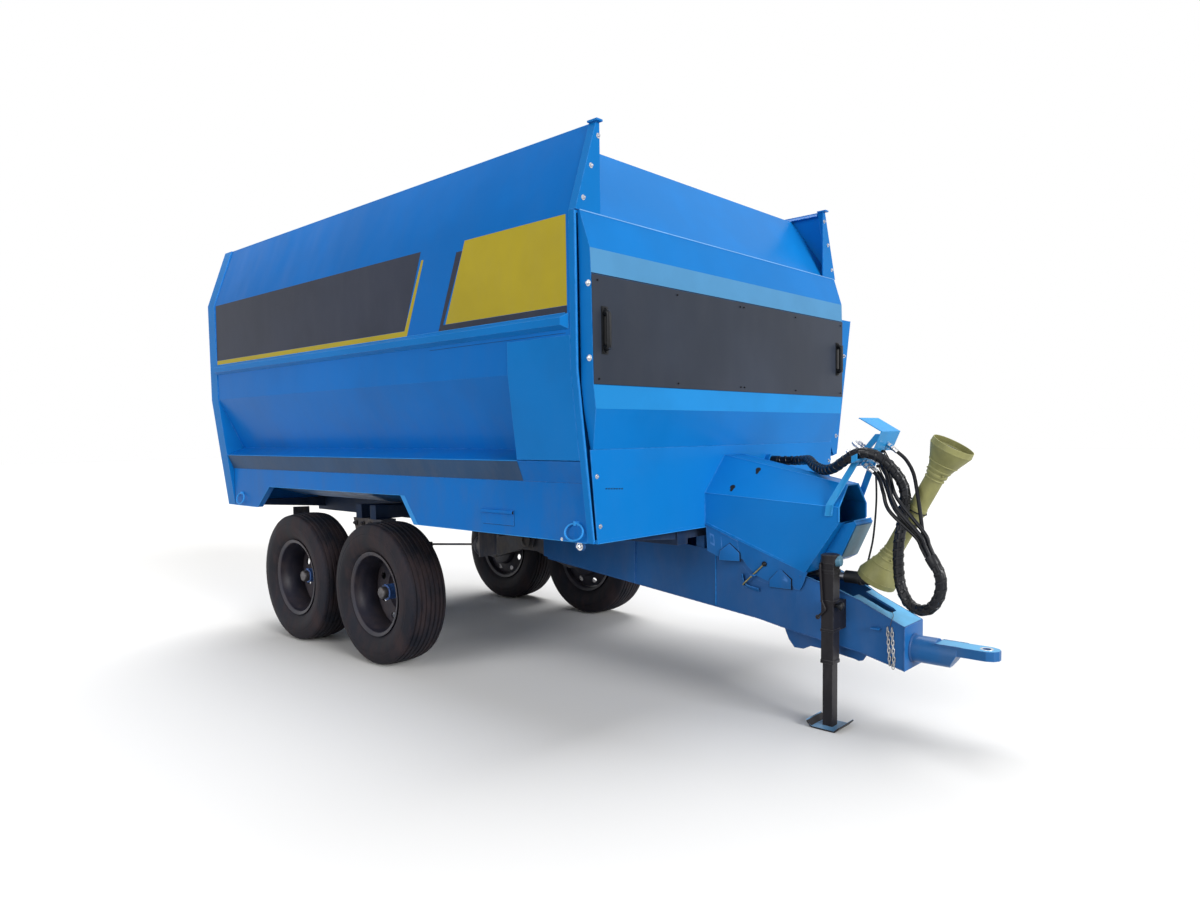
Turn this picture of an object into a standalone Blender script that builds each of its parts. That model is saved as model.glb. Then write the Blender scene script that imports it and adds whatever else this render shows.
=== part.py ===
"""Towed feed mixer wagon, drawn in metres: +X forward to the drawbar, +Y to its left, +Z up.

Lengths are measured from the middle of the tandem, and what stands ahead of the front wall from that wall.
"""

import math

import bmesh
import bpy
from mathutils import Matrix, Vector

# driving dimensions
SHIFT, SHIFT_Y = -1.401, -0.2030  # centres the whole, chute included, on the origin
GAP = 0.0006  # between neighbouring pieces
SHEET = 0.006
X_FRONT, FRONT_DEPTH = 2.776, 0.040
X_REAR, REAR_DEPTH = -1.596, 0.126
TOP_Y, TOP_Z = 1.200, 3.205
RIM_Y, RIM_Z, LOW_Z = 1.365, 2.735, 1.945  # upright part of the sides, its top and its foot
POCKET_Y, POCKET_Z = 1.168, 1.535  # foot of the drawn-in panel
LEDGE_Y, LEDGE_Z = 1.309, 1.477
SKIRT_Y, SKIRT_Z = 1.2635, 1.362
BOT_Y, BOT_Z = 1.258, 1.048
ARCH = ((-1.055, 0.0), (-0.831, 0.176), (1.030, 0.184), (1.173, 0.0))  # wheel cut-out: x, height
RAIL_Z, RAIL_OUT = 2.191, 0.030
FLOOR_Z, FLOOR_SHEET = 1.104, 0.008
RAIL_IN, RAIL_WIDE, RAIL_FOOT = 0.400, 0.100, 0.955  # chassis rails
CROSS_Z = 0.985
TYRE_R, TYRE_W, TRACK_OUT, AXLE_X = 0.507, 0.312, 1.230, 0.565
RIM_R, HUB_REACH = 0.2908, 0.160
PIN_Z, PIN_R, PIN_PLAY = 0.640, 0.040, 0.0008
BEAM_WIDE, HANGER_PLATE = 0.080, 0.014
DRAW_HALF, DRAW_NOSE, DRAW_PLATE = 0.200, 0.122, 0.012
NOSE = 1.179  # front plate of the drawbar, ahead of the front wall
EYE_OUT, EYE_R, EYE_Z, EYE_THICK = 1.560, 0.021, 0.447, 0.050
JACK_OUT, JACK_Y, JACK_HALF, JACK_BORE, JACK_PLAY = 0.824, -0.265, 0.036, 0.030, 0.0008
JACK_LIFT = 0.340
DOOR_X, DOOR_Z, DOOR_LAP = (1.660, 2.640), (1.570, 1.900), 0.030
CHUTE_Y, CHUTE_Z, CHUTE_PIN = 1.500, 1.400, 0.012
REEL_Y, REEL_Z, REEL_R = 0.250, 1.950, 0.690
AUGER_R, AUGER_TURNS = 0.200, 8
AUGERS = (("auger_lower", -0.800, 1.640, 1), ("auger_upper", -0.960, 2.160, -1))  # name, y, z, hand
SHAFT_R, SHAFT_Z = 0.022, 0.790
BUNDLE_R, HOSE_R, SIDE_HOSE_R = 0.031, 0.010, 0.006

# sizes that follow
X_REAR_IN = X_REAR + REAR_DEPTH
WALL_X = (X_REAR_IN + GAP, X_FRONT - FRONT_DEPTH - GAP)
HUB_IN = TRACK_OUT - TYRE_W / 2 - HUB_REACH  # inner face of each wheel hub
WHEEL_Y = TRACK_OUT - TYRE_W / 2
CROSS_FOOT = CROSS_Z - GAP
SIDE_SLOPE = (RIM_Y - LEDGE_Y) / (LOW_Z - LEDGE_Z)
SIDES = ((-1, "right"), (1, "left"))
AXLES = ((AXLE_X, "front"), (-AXLE_X, "rear"))

FINISHES = {  # red, green, blue, roughness, metallic
    "blue": (0.015, 0.160, 0.500, 0.35, 0.0),
    "panel_black": (0.020, 0.024, 0.035, 0.35, 0.0),
    "running_black": (0.030, 0.035, 0.050, 0.50, 0.0),
    "jack_black": (0.012, 0.012, 0.015, 0.45, 0.0),
    "steel": (0.350, 0.350, 0.360, 0.45, 1.0),
    "yoke_black": (0.012, 0.012, 0.012, 0.50, 0.0),
    "guard_yellow": (0.350, 0.340, 0.090, 0.50, 0.0),
    "tyre": (0.020, 0.020, 0.022, 0.80, 0.0),
    "wheel_dark": (0.020, 0.022, 0.035, 0.50, 0.0),
    "hose_black": (0.010, 0.010, 0.012, 0.40, 0.0),
}
FINISH_OF = (  # start of a piece's name, its finish; all others are blue
    ("service_panel", "panel_black"), ("rocker", "running_black"), ("hanger", "running_black"),
    ("jack", "jack_black"), ("mixing_reel", "steel"), ("auger", "steel"), ("input_shaft", "steel"),
    ("shaft_guard", "guard_yellow"), ("shaft_yoke", "yoke_black"), ("tractor_yoke", "yoke_black"),
    ("tyre", "tyre"), ("wheel", "wheel_dark"), ("hose_bundle", "hose_black"), ("hose_line", "hose_black"),
    ("side_hose", "hose_black"))

for old in list(bpy.data.objects):
    bpy.data.objects.remove(old)
SCENE = bpy.context.scene
PIVOTS = {}  # piece: the point on its joint's axis that becomes its origin


# shapes
def new_object(name, bm):
    bmesh.ops.recalc_face_normals(bm, faces=bm.faces)
    mesh = bpy.data.meshes.new(name)
    bm.to_mesh(mesh)
    bm.free()
    obj = bpy.data.objects.new(name, mesh)
    SCENE.collection.objects.link(obj)
    return obj


def loft(name, rings):
    """Rings of equal length, joined in order; the first and last are capped."""
    bm = bmesh.new()
    made = [[bm.verts.new(p) for p in ring] for ring in rings]
    for a, b in zip(made, made[1:]):
        for i in range(len(a)):
            j = (i + 1) % len(a)
            bm.faces.new((a[i], a[j], b[j], b[i]))
    bm.faces.new(made[0])
    bm.faces.new(made[-1])
    return new_object(name, bm)


def prism(name, axis, low, high, points):
    """A flat outline pushed along x, y or z; the outline is in the other two, in order."""
    def at(p, s):
        return {"x": (s, p[0], p[1]), "y": (p[0], s, p[1]), "z": (p[0], p[1], s)}[axis]

    return loft(name, [[at(p, s) for p in points] for s in (low, high)])


def box(name, x, y, z):
    return prism(name, "x", x[0], x[1], [(y[0], z[0]), (y[1], z[0]), (y[1], z[1]), (y[0], z[1])])


def tube_between(name, a, b, radius, sides=16):
    a, b = Vector(a), Vector(b)
    along = (b - a).normalized()
    side = along.orthogonal().normalized()
    other = along.cross(side)
    turns = [2 * math.pi * k / sides for k in range(sides)]
    ring = [radius * (math.cos(t) * side + math.sin(t) * other) for t in turns]
    return loft(name, [[end + r for r in ring] for end in (a, b)])


def around(centre, along, radius, turn, axis):
    x, y, z = centre
    c, s = radius * math.cos(turn), radius * math.sin(turn)
    return (x + c, y + along, z + s) if axis == "y" else (x + along, y + c, z + s)


def turned(name, centre, profile, sides, axis="y"):
    """A closed ring; the profile's points are (along the axis, radius)."""
    bm = bmesh.new()
    turns = [2 * math.pi * (k + 0.5) / sides for k in range(sides)]
    rings = [[bm.verts.new(around(centre, d, r, t, axis)) for d, r in profile] for t in turns]
    for k in range(sides):
        a, b = rings[k], rings[(k + 1) % sides]
        for i in range(len(profile)):
            j = (i + 1) % len(profile)
            bm.faces.new((a[i], a[j], b[j], b[i]))
    return new_object(name, bm)


def disc(name, centre, profile, sides, axis="y"):
    """A solid of revolution; the profile starts and ends on the axis."""
    bm = bmesh.new()
    first, last = (bm.verts.new(around(centre, profile[i][0], 0, 0, axis)) for i in (0, -1))
    turns = [2 * math.pi * (k + 0.5) / sides for k in range(sides)]
    rings = [[bm.verts.new(around(centre, d, r, t, axis)) for d, r in profile[1:-1]] for t in turns]
    for k in range(sides):
        a, b = rings[k], rings[(k + 1) % sides]
        bm.faces.new((first, b[0], a[0]))
        for i in range(len(a) - 1):
            bm.faces.new((a[i], b[i], b[i + 1], a[i + 1]))
        bm.faces.new((last, a[-1], b[-1]))
    return new_object(name, bm)


def turned_along(name, origin, axis, profile, sides, bored=False):
    """A revolved solid, or a ring if bored, along a slanting axis."""
    make = turned if bored else disc
    obj = make(name, (0, 0, 0), profile, sides, axis="x")
    turn = Vector((1, 0, 0)).rotation_difference(axis).to_matrix().to_4x4()
    obj.data.transform(Matrix.Translation(origin) @ turn)
    return obj


def boolean(base, operation, other):
    step = base.modifiers.new("step", "BOOLEAN")
    step.operation, step.solver, step.object = operation, "EXACT", other
    bpy.context.view_layer.update()
    mesh = bpy.data.meshes.new_from_object(base.evaluated_get(bpy.context.evaluated_depsgraph_get()))
    base.modifiers.clear()
    base.data = mesh
    bpy.data.objects.remove(other)
    return base


def joined(base, adds=(), cuts=()):
    """One mesh from a body, what is welded to it and what is cut away."""
    for other in adds:
        boolean(base, "UNION", other)
    for other in cuts:
        boolean(base, "DIFFERENCE", other)
    bm = bmesh.new()
    bm.from_mesh(base.data)
    bmesh.ops.remove_doubles(bm, verts=bm.verts, dist=0.00002)
    bmesh.ops.dissolve_limit(bm, angle_limit=0.002, verts=bm.verts, edges=bm.edges)
    bm.to_mesh(base.data)
    bm.free()
    return base


def sheet(name, line, thick, low, high, axis="x", side=1):
    """A bent sheet: the line is one face, and the other lies `thick` to its left (or right)."""
    normals = []
    for a, b in zip(line, line[1:]):
        dx, dy = b[0] - a[0], b[1] - a[1]
        size = math.hypot(dx, dy)
        normals.append((-dy / size * side, dx / size * side))
    other = []
    for i, p in enumerate(line):
        before, after = normals[max(i - 1, 0)], normals[min(i, len(line) - 2)]
        mx, my = before[0] + after[0], before[1] + after[1]
        scale = 2 / (mx * mx + my * my)
        other.append((p[0] + mx * scale * thick, p[1] + my * scale * thick))
    return prism(name, axis, low, high, list(line) + other[::-1])


def both(points):
    """An outline closed by its mirror image about y = 0."""
    return points + [(-y, z) for y, z in points[::-1]]


def span(s, low, high):
    """Low and high ends on the chosen side of the wagon."""
    return sorted((s * low, s * high))


def ahead(points):
    """First coordinates measured from the front wall, forward."""
    return [(X_FRONT + p[0], *p[1:]) for p in points]


def smooth_route(points, step):
    """Points about `step` apart on a smooth curve through the route's own points."""
    dense = []
    ends = [2 * points[0] - points[1], *points, 2 * points[-1] - points[-2]]
    for p, a, b, n in zip(ends, ends[1:], ends[2:], ends[3:]):
        for k in range(12):
            t = k / 12
            dense.append(0.5 * (2 * a + (b - p) * t + (2 * p - 5 * a + 4 * b - n) * t * t
                                + (3 * a - p - 3 * b + n) * t ** 3))
    dense.append(points[-1])
    lengths = [0.0]
    for a, b in zip(dense, dense[1:]):
        lengths.append(lengths[-1] + (b - a).length)
    count = max(round(lengths[-1] / step), 2)
    route, i = [], 0
    for k in range(count + 1):
        want = lengths[-1] * k / count
        while i < len(lengths) - 2 and lengths[i + 1] < want:
            i += 1
        share = (want - lengths[i]) / (lengths[i + 1] - lengths[i])
        route.append(dense[i].lerp(dense[i + 1], share))
    return route


def hose(name, points, radius):
    """A round flexible line, with a point every two diameters."""
    curve = bpy.data.curves.new(name, "CURVE")
    curve.dimensions = "3D"
    curve.bevel_depth = radius
    curve.bevel_resolution = 2
    curve.use_fill_caps = True
    route = smooth_route([Vector(p) for p in points], 4 * radius)
    spline = curve.splines.new("POLY")
    spline.points.add(len(route) - 1)
    for spot, p in zip(spline.points, route):
        spot.co = (*p, 1.0)
    obj = bpy.data.objects.new(name, curve)
    SCENE.collection.objects.link(obj)


# tub
def make_side(s, side):
    line = [(TOP_Y - 0.022, TOP_Z - 0.030), (TOP_Y, TOP_Z - 0.006), (RIM_Y, RIM_Z), (RIM_Y, LOW_Z),
            (POCKET_Y, POCKET_Z), (POCKET_Y - 0.018, POCKET_Z - 0.012)]
    wall = sheet(f"side_wall_{side}", [(s * y, z) for y, z in line], SHEET, *WALL_X, side=-s)
    ledge = [(POCKET_Y - 0.010, POCKET_Z + 0.0055), (LEDGE_Y, LEDGE_Z), (SKIRT_Y, SKIRT_Z)]
    ledge = sheet("ledge", [(s * y, z) for y, z in ledge], SHEET, *WALL_X, side=-s)
    mouth = [box("mouth", DOOR_X, (POCKET_Y - 0.2, RIM_Y + 0.2), DOOR_Z)] if side == "left" else []
    joined(wall, adds=[ledge], cuts=mouth)

    arch = [(x, BOT_Z + up) for x, up in ARCH]
    outline = [(WALL_X[0], BOT_Z), *arch, (WALL_X[1], BOT_Z),
               (WALL_X[1], SKIRT_Z - GAP), (WALL_X[0], SKIRT_Z - GAP)]
    skirt = prism(f"skirt_{side}", "y", s * SKIRT_Y, s * (SKIRT_Y - SHEET), outline)
    edge = [(ARCH[0][0] - 0.060, BOT_Z), *arch, (ARCH[-1][0] + 0.067, BOT_Z)]
    joined(skirt, adds=[sheet("edge", edge, SHEET, s * (SKIRT_Y - 0.0035), s * (SKIRT_Y - 0.0485), "y")])

    # rail pressed out along the side, with a mitred front end
    foot, crest = RIM_Y + GAP, RIM_Y + RAIL_OUT
    full = ((foot, RAIL_Z + 0.041), (crest, RAIL_Z + 0.019), (crest, RAIL_Z - 0.019), (foot, RAIL_Z - 0.041))
    flat = ((foot, RAIL_Z + 0.041), (foot + 0.002, RAIL_Z + 0.040),
            (foot + 0.002, RAIL_Z - 0.040), (foot, RAIL_Z - 0.041))
    sections = ((WALL_X[0], full), (X_FRONT - 0.086, full), (X_FRONT - 0.051, flat))
    loft(f"rub_rail_{side}", [[(x, s * y, z) for y, z in ring] for x, ring in sections])

    # flush plate that closes the front of the drawn-in panel
    start = X_FRONT - (0.526 if side == "right" else 1.216)
    line = [(foot, RAIL_Z - 0.071), (foot, LOW_Z), (LEDGE_Y + 0.0018, LEDGE_Z + 0.0055)]
    plate = sheet(f"closing_plate_{side}", [(s * y, z) for y, z in line], 0.004, start, WALL_X[1], side=s)
    if side == "left":
        wide, clear = 0.020, DOOR_LAP + 0.0008
        ends = [(left_face(z, out), z) for z, out in (
            (DOOR_Z[0] - 0.025, 0.002), (DOOR_Z[1] + 0.030, 0.002),
            (DOOR_Z[1] + 0.030, 0.020), (DOOR_Z[0] - 0.025, 0.020))]
        starts = (DOOR_X[0] - clear - wide, DOOR_X[1] + clear)
        guides = [prism("guide", "x", x, x + wide, ends) for x in starts]
        joined(plate, adds=guides, cuts=[box("mouth", DOOR_X, (POCKET_Y, RIM_Y + 0.1), DOOR_Z)])


def left_face(z, out):
    """Distance from the middle of a point `out` beyond the left closing plate's plane."""
    return RIM_Y - (LOW_Z - z) * SIDE_SLOPE + out


def make_floor():
    trough = [(POCKET_Y - 0.018, POCKET_Z - 0.0128), (1.142, 1.470), (1.030, 1.290), (0.860, 1.170),
              (0.620, FLOOR_Z)]
    sheet("tub_floor", both(trough), FLOOR_SHEET, *WALL_X, side=1)


def end_outline(grow, top):
    points = [(RIM_Y + grow, RIM_Z), (RIM_Y + grow, LOW_Z), (BOT_Y + grow, BOT_Z)]
    if top:
        points.insert(0, (TOP_Y + grow, TOP_Z))
    return both(points)


def make_end_walls():
    flange = 0.013
    rear = prism("rear_wall", "x", X_REAR, X_REAR_IN, end_outline(SHEET, True))
    inner = [(TOP_Y - 0.010, TOP_Z - 0.015), (RIM_Y - flange, RIM_Z - 0.004),
             (RIM_Y - flange, LOW_Z + 0.003), (BOT_Y - 0.010, BOT_Z + 0.012)]
    joined(rear, cuts=[prism("dish", "x", X_REAR - 0.1, X_REAR_IN - 0.008, both(inner))])
    front = prism("front_wall", "x", X_FRONT - FRONT_DEPTH, X_FRONT, end_outline(0.004, False))
    inner = [(RIM_Y - flange, RIM_Z - 0.015), (RIM_Y - flange, LOW_Z + 0.003), (BOT_Y - 0.010, BOT_Z + 0.016)]
    joined(front, cuts=[prism("dish", "x", X_FRONT - FRONT_DEPTH + 0.008, X_FRONT + 0.1, both(inner))])


def make_front_board():
    """Board that leans back over the front wall, between two corner plates."""
    top = TOP_Z - 0.035
    line = ahead([(-0.004, RIM_Z + 0.0016), (-0.252, top), (-0.276, top), (-0.276, top - SHEET),
                  (-0.257, top - SHEET), (-0.012, RIM_Z + 0.0016)])
    lean = (RIM_Y - TOP_Y) / (TOP_Z - RIM_Z)
    half = RIM_Y - 0.0108
    loft("front_board", [[(x, s * (half - (z - RIM_Z) * lean), z) for x, z in line] for s in (-1, 1)])
    for s, side in SIDES:
        foot, edge = RIM_Z + GAP, 0.014
        plate = [(s * y, z) for y, z in ((RIM_Y + 0.004, foot), (TOP_Y + 0.008, TOP_Z),
                                         (TOP_Y - 0.016, TOP_Z), (TOP_Y - 0.016, foot))]
        strip = [(s * y, z) for y, z in ((RIM_Y + 0.004, foot), (TOP_Y + 0.008, TOP_Z),
                                         (TOP_Y - 0.010, TOP_Z), (RIM_Y + 0.004 - edge, foot))]
        post = prism(f"corner_post_{side}", "x", X_FRONT + GAP, X_FRONT + 0.010, plate)
        strip = prism("strip", "x", WALL_X[1] + GAP, X_FRONT + 0.006, strip)
        cap = box("cap", (WALL_X[1] + GAP, X_FRONT + 0.030), span(s, TOP_Y - 0.020, TOP_Y + 0.025),
                  (TOP_Z - 0.006, TOP_Z + 0.004))
        joined(post, adds=[strip, cap])


# drive cover on the front wall: height, reach ahead of the wall, distance inside the rim
PANEL_FOOT, PANEL_TOP, COVER_FOOT = 1.868, 2.413, 1.539
UPPER_FOLD = PANEL_TOP + 0.404 * (RIM_Z - PANEL_TOP)
LOWER_FOLD = COVER_FOOT + 0.623 * (PANEL_FOOT - COVER_FOOT)
COVER = ((RIM_Z, 0.014, 0.0200), (UPPER_FOLD, 0.077, 0.0245), (PANEL_TOP, 0.081, 0.0260),
         (PANEL_FOOT, 0.084, 0.0300), (LOWER_FOLD, 0.085, 0.0450), (COVER_FOOT, 0.021, 0.0890))


def cover_solid(name, inset, back):
    rings = []
    for z, out, inside in COVER:
        up = z - inset if z == RIM_Z else z + inset if z == COVER_FOOT else z
        x, y = X_FRONT + out - inset, RIM_Y - inside - inset
        rings.append([(back, -y, up), (x, -y, up), (x, y, up), (back, y, up)])
    return loft(name, rings)


def make_front():
    cover = cover_solid("drive_cover", 0.0, X_FRONT + GAP)
    wide = RIM_Y - 0.065
    window = box("window", (X_FRONT + 0.024, X_FRONT + 0.224), (-wide, wide), (PANEL_FOOT + 0.032, PANEL_TOP - 0.028))
    joined(cover, cuts=[cover_solid("inside", 0.005, X_FRONT - 0.1), window])

    (top_out, top_in), (foot_out, foot_in) = COVER[2][1:], COVER[3][1:]
    top_wide, foot_wide = RIM_Y - top_in - 0.002, RIM_Y - foot_in - 0.002
    corners = ahead([(foot_out, -foot_wide, PANEL_FOOT), (foot_out, foot_wide, PANEL_FOOT),
                     (top_out, top_wide, PANEL_TOP), (top_out, -top_wide, PANEL_TOP)])
    panel = loft("service_panel", [[(x + d, y, z) for x, y, z in corners] for d in (0.0007, 0.0057)])
    # handles: two short legs and an upright grip
    grip_y, grip_z, bar, reach = 1.252, (2.042, 2.237), 0.020, (0.088, 0.130)
    handles = []
    for s in (-1, 1):
        wide = (s * grip_y - 0.011, s * grip_y + 0.011)
        for z in (grip_z[0], grip_z[1] - bar):
            handles.append(box("leg", (X_FRONT + reach[0], X_FRONT + reach[1]), wide, (z, z + bar)))
        handles.append(box("grip", (X_FRONT + reach[1] - 0.014, X_FRONT + reach[1]), wide, grip_z))
    joined(panel, adds=handles)
    PIVOTS["service_panel"] = (X_FRONT + 0.089, 0, PANEL_TOP + 0.002)

    out, foot = 0.016, BOT_Z + 0.020
    sections = ((COVER_FOOT - 0.0008, RIM_Y - COVER[-1][2] + 0.022), (foot, BOT_Y - 0.004))
    lower = loft("lower_front_panel", [[(X_FRONT + out, -y, z), (X_FRONT + out + SHEET, -y, z),
                                        (X_FRONT + out + SHEET, y, z), (X_FRONT + out, y, z)] for z, y in sections])
    wide = BOT_Y - SHEET
    fold = box("fold", (X_FRONT + GAP, X_FRONT + out + 0.0055), (-wide, wide), (BOT_Z, foot + 0.002))
    x, y, z = BUNDLE[0]
    gland = tube_between("gland", (X_FRONT + out + 0.003, y, z), (x - 0.001, y, z), BUNDLE_R + 0.010, 16)
    joined(lower, adds=[fold, gland])


# chassis: rails up to the tub floor, cross members and tapering outriggers
def make_chassis():
    top = FLOOR_Z - FLOOR_SHEET - GAP
    rail_y = RAIL_IN + RAIL_WIDE
    rails = [box("chassis_frame", WALL_X, span(s, RAIL_IN, rail_y), (RAIL_FOOT, top)) for s in (-1, 1)]
    adds, wide, mid = rails[1:], 0.080, RAIL_IN + RAIL_WIDE / 2
    far, near, thin = BOT_Y - 0.048, HUB_IN - 0.014, CROSS_Z + 0.067
    for x, reach, tip in ((X_REAR_IN + 0.050, far, thin), (-0.140, near, CROSS_Z), (0.060, near, CROSS_Z),
                          (1.280, far, thin), (X_FRONT - 0.136, far, thin)):
        adds.append(box("cross", (x, x + wide), (-mid, mid), (CROSS_Z, 1.070)))
        for s in (-1, 1):
            outline = [(s * mid, CROSS_Z), (s * reach, tip), (s * reach, top - 0.0024), (s * mid, 1.070)]
            adds.append(prism("outrigger", "x", x, x + wide, outline))
    joined(rails[0], adds=adds)


# drawbar: a tapering box, cheeks up to the cross members and side plates under the guard
def make_drawbar():
    taper = [(-1.476, DRAW_HALF), (0.574, DRAW_HALF), (0.924, DRAW_NOSE), (NOSE, DRAW_NOSE)]
    beam = prism("drawbar", "z", 0.2, 1.2, both_sides(ahead(taper)))
    under = [(-1.476, 0.705), (-0.586, 0.613), (0.334, 0.517), (0.574, 0.475), (0.924, 0.400), (1.154, 0.345),
             (NOSE, 0.336)]
    over = [(NOSE, 0.575), (0.821, 0.734), (0.624, 0.800), (-0.026, 0.900), (-0.576, 0.953), (-1.476, 0.953)]
    boolean(beam, "INTERSECT", prism("side_view", "y", -0.5, 0.5, ahead(under + over)))

    plate = DRAW_PLATE
    inner = [(-1.576, DRAW_HALF - plate), (0.569, DRAW_HALF - plate), (0.919, DRAW_NOSE - plate),
             (NOSE - plate, DRAW_NOSE - plate)]
    hole = prism("hole", "z", 0.0, 2.0, both_sides(ahead(inner)))
    low = [(-1.576, 0.724), (-0.586, 0.623), (0.334, 0.527), (0.574, 0.485), (0.924, 0.410),
           (NOSE - plate, 0.355)]
    high = [(NOSE - plate, 0.569), (0.884, 0.694), (0.884, 1.5), (-1.576, 1.5)]
    boolean(hole, "INTERSECT", prism("side_view", "y", -0.5, 0.5, ahead(low + high)))
    slot = prism("slot", "z", 0.5, 0.9, both_sides(ahead([(0.824, 0.045), (1.044, 0.045), (1.069, 0.030)])))
    joined(beam, cuts=[hole, slot])

    adds = []
    cheek = [(-1.506, 0.727), (-0.626, 0.622), (-0.616, 0.945), (-0.876, 0.950), (-1.356, CROSS_FOOT),
             (-1.506, CROSS_FOOT)]
    side_plate = [(0.024, 1.064), (0.024, 0.885), (0.059, 0.868), (0.189, 0.850), (0.289, 0.757),
                  (0.374, 0.735), (0.534, 0.733), (0.584, 0.718), (0.619, 0.800)]
    for s in (-1, 1):
        for line, low, high in ((cheek, -0.005, plate), (side_plate, -0.010, SHEET)):
            adds.append(prism("cheek", "y", *span(s, DRAW_HALF + low, DRAW_HALF + high), ahead(line)))
    half = DRAW_HALF - 0.004
    adds.append(box("bulkhead", (X_FRONT - 0.126, X_FRONT - 0.066), (-half, half), (0.880, CROSS_FOOT)))
    # port on the left for the end of the thin side hose
    x, y, z = SIDE_HOSE[-1]
    lug = box("lug", (x - 0.010, x + 0.010), (draw_side(x) - 0.006, y), (z - 0.060, z - 0.030))
    port = tube_between("port", (x, y, z - 0.062), (x, y, z - 0.001), SIDE_HOSE_R + 0.006, 12)
    joined(beam, adds=[*adds, lug, port])


def both_sides(points):
    """A plan outline closed by its mirror image about y = 0."""
    return [(x, -y) for x, y in points] + points[::-1]


def make_tow_eye():
    """A tube whose end is cut down to carry a flat plate with the eye."""
    axis_z, radius, tip = EYE_Z - 0.005, 0.072, EYE_OUT + 0.066
    reach = EYE_OUT - NOSE
    plate, foot, step, end = (NOSE + share * reach for share in (0.354, 0.512, 0.656, 0.722))
    x0, x1 = X_FRONT + NOSE + GAP, X_FRONT + end
    tube = tube_between("tow_eye", (x0, 0, axis_z), (x1, 0, axis_z), radius, 24)
    low, top, past = EYE_Z - 0.147, EYE_Z + EYE_THICK - 0.001, tip + 0.100
    under = [(foot, low), (foot, low + 0.060), (step, EYE_Z), (step, top + 0.100), (past, top + 0.100), (past, low)]
    over = [(plate, top), (past, top), (past, top + 0.100), (plate, top + 0.100)]
    joined(tube, cuts=[prism("cut", "y", -0.2, 0.2, ahead(line)) for line in (under, over)])
    plan = both_sides(ahead([(plate, 0.060), (tip - 0.052, 0.060), (tip - 0.018, 0.043), (tip, 0.015)]))
    eye = tube_between("eye", (X_FRONT + EYE_OUT, 0, 0.3), (X_FRONT + EYE_OUT, 0, 0.6), EYE_R, 24)
    joined(tube, adds=[prism("plate", "z", EYE_Z, EYE_Z + EYE_THICK, plan)], cuts=[eye])


# folded guard over the gearbox and the input shaft
GUARD_BACK, GUARD_MOUTH, GUARD_SHEET = 0.0226, 0.824, 0.008
GUARD_REAR = ((0.310, 0.700), (0.310, 1.258), (0.100, 1.480))  # half sections: y, z
GUARD_FRONT = ((0.169, 0.700), (0.169, 1.199), (0.065, 1.318))


def guard_ring(x, half, thin):
    ring = [(y - thin, z - thin * (z > 1.3)) for y, z in half]
    return [(X_FRONT + x, -y, z) for y, z in ring] + [(X_FRONT + x, y, z) for y, z in ring[::-1]]


def make_guard():
    ends = ((GUARD_BACK, GUARD_REAR), (GUARD_MOUTH, GUARD_FRONT))
    guard = loft("gearbox_guard", [guard_ring(x, half, 0) for x, half in ends])
    outline = [(GUARD_BACK, 1.068), (GUARD_BACK, 1.6), (GUARD_MOUTH, 1.6), (GUARD_MOUTH, 1.112),
               (0.634, 0.820)]
    boolean(guard, "INTERSECT", prism("side_view", "y", -0.6, 0.6, ahead(outline)))
    inside = loft("inside", [guard_ring(GUARD_BACK - 0.01, GUARD_REAR, GUARD_SHEET),
                             guard_ring(GUARD_MOUTH + 0.01, GUARD_FRONT, GUARD_SHEET)])
    outline = [(GUARD_BACK - 0.02, 0.5), (GUARD_BACK - 0.02, 1.6), (GUARD_MOUTH + 0.01, 1.6),
               (GUARD_MOUTH + 0.01, 1.112), (GUARD_MOUTH - 0.01, 1.112), (0.624, 0.820), (0.624, 0.5)]
    boolean(inside, "INTERSECT", prism("side_view", "y", -0.6, 0.6, ahead(outline)))
    joined(guard, cuts=[inside])
    flanges, seat = [], DRAW_HALF + SHEET + GAP
    for s in (-1, 1):
        ends = ((GUARD_BACK, 1.069, 0.306), (0.524, 0.865, 0.218))
        rings = [[(X_FRONT + x, s * y, z + up) for y, up in ((seat, 0), (wide, 0), (wide, 0.008), (seat, 0.008))]
                 for x, z, wide in ends]
        flanges.append(loft("flange", rings))
    joined(guard, adds=flanges)
    half = DRAW_HALF - DRAW_PLATE - GAP
    box("gearbox", (X_FRONT + 0.054, X_FRONT + 0.354), (-half, half), (0.600, 0.960))
    outline = [(0.817, 1.100), (0.884, 1.120), (0.896, 1.105), (0.799, 0.905), (0.754, 0.880), (0.684, 0.8955)]
    prism("document_box", "y", -0.105, 0.105, ahead(outline))


# hose rack: two posts, a hood, a plate of couplers and a hook, all welded
RACK_POST = (  # x ahead, y, z of the post's middle line, half its depth and half its width
    (0.769, 0.1834, 1.150, 0.020, 0.004), (0.776, 0.1822, 1.212, 0.020, 0.004),
    (0.889, 0.1150, 1.440, 0.020, 0.005), (1.014, 0.0850, 1.600, 0.020, 0.005))
HOOD = ((0.914, 1.685), (1.039, 1.612), (0.994, 1.510))
HOOK_BED = ((0.912, 1.4519), (0.944, 1.4664))  # x ahead and height of the face that the bundle rests on
HOOK = ((-0.106, -0.006), (-0.204, -0.006), (-0.204, 0.030), (-0.198, 0.030), (-0.198, 0.0), (-0.106, 0.0))
COUPLER_R, COUPLER_AXIS = 0.013, Vector((-0.80, 0, 0.60))
COUPLERS = (  # middle of each coupler: x ahead, y, z, and half its length
    (0.9420, -0.074, 1.496, 0.050), (0.9420, -0.030, 1.496, 0.050),
    (0.9060, -0.074, 1.448, 0.050), (0.9060, -0.030, 1.448, 0.050), (1.0050, 0.020, 1.551, 0.040))


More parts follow.
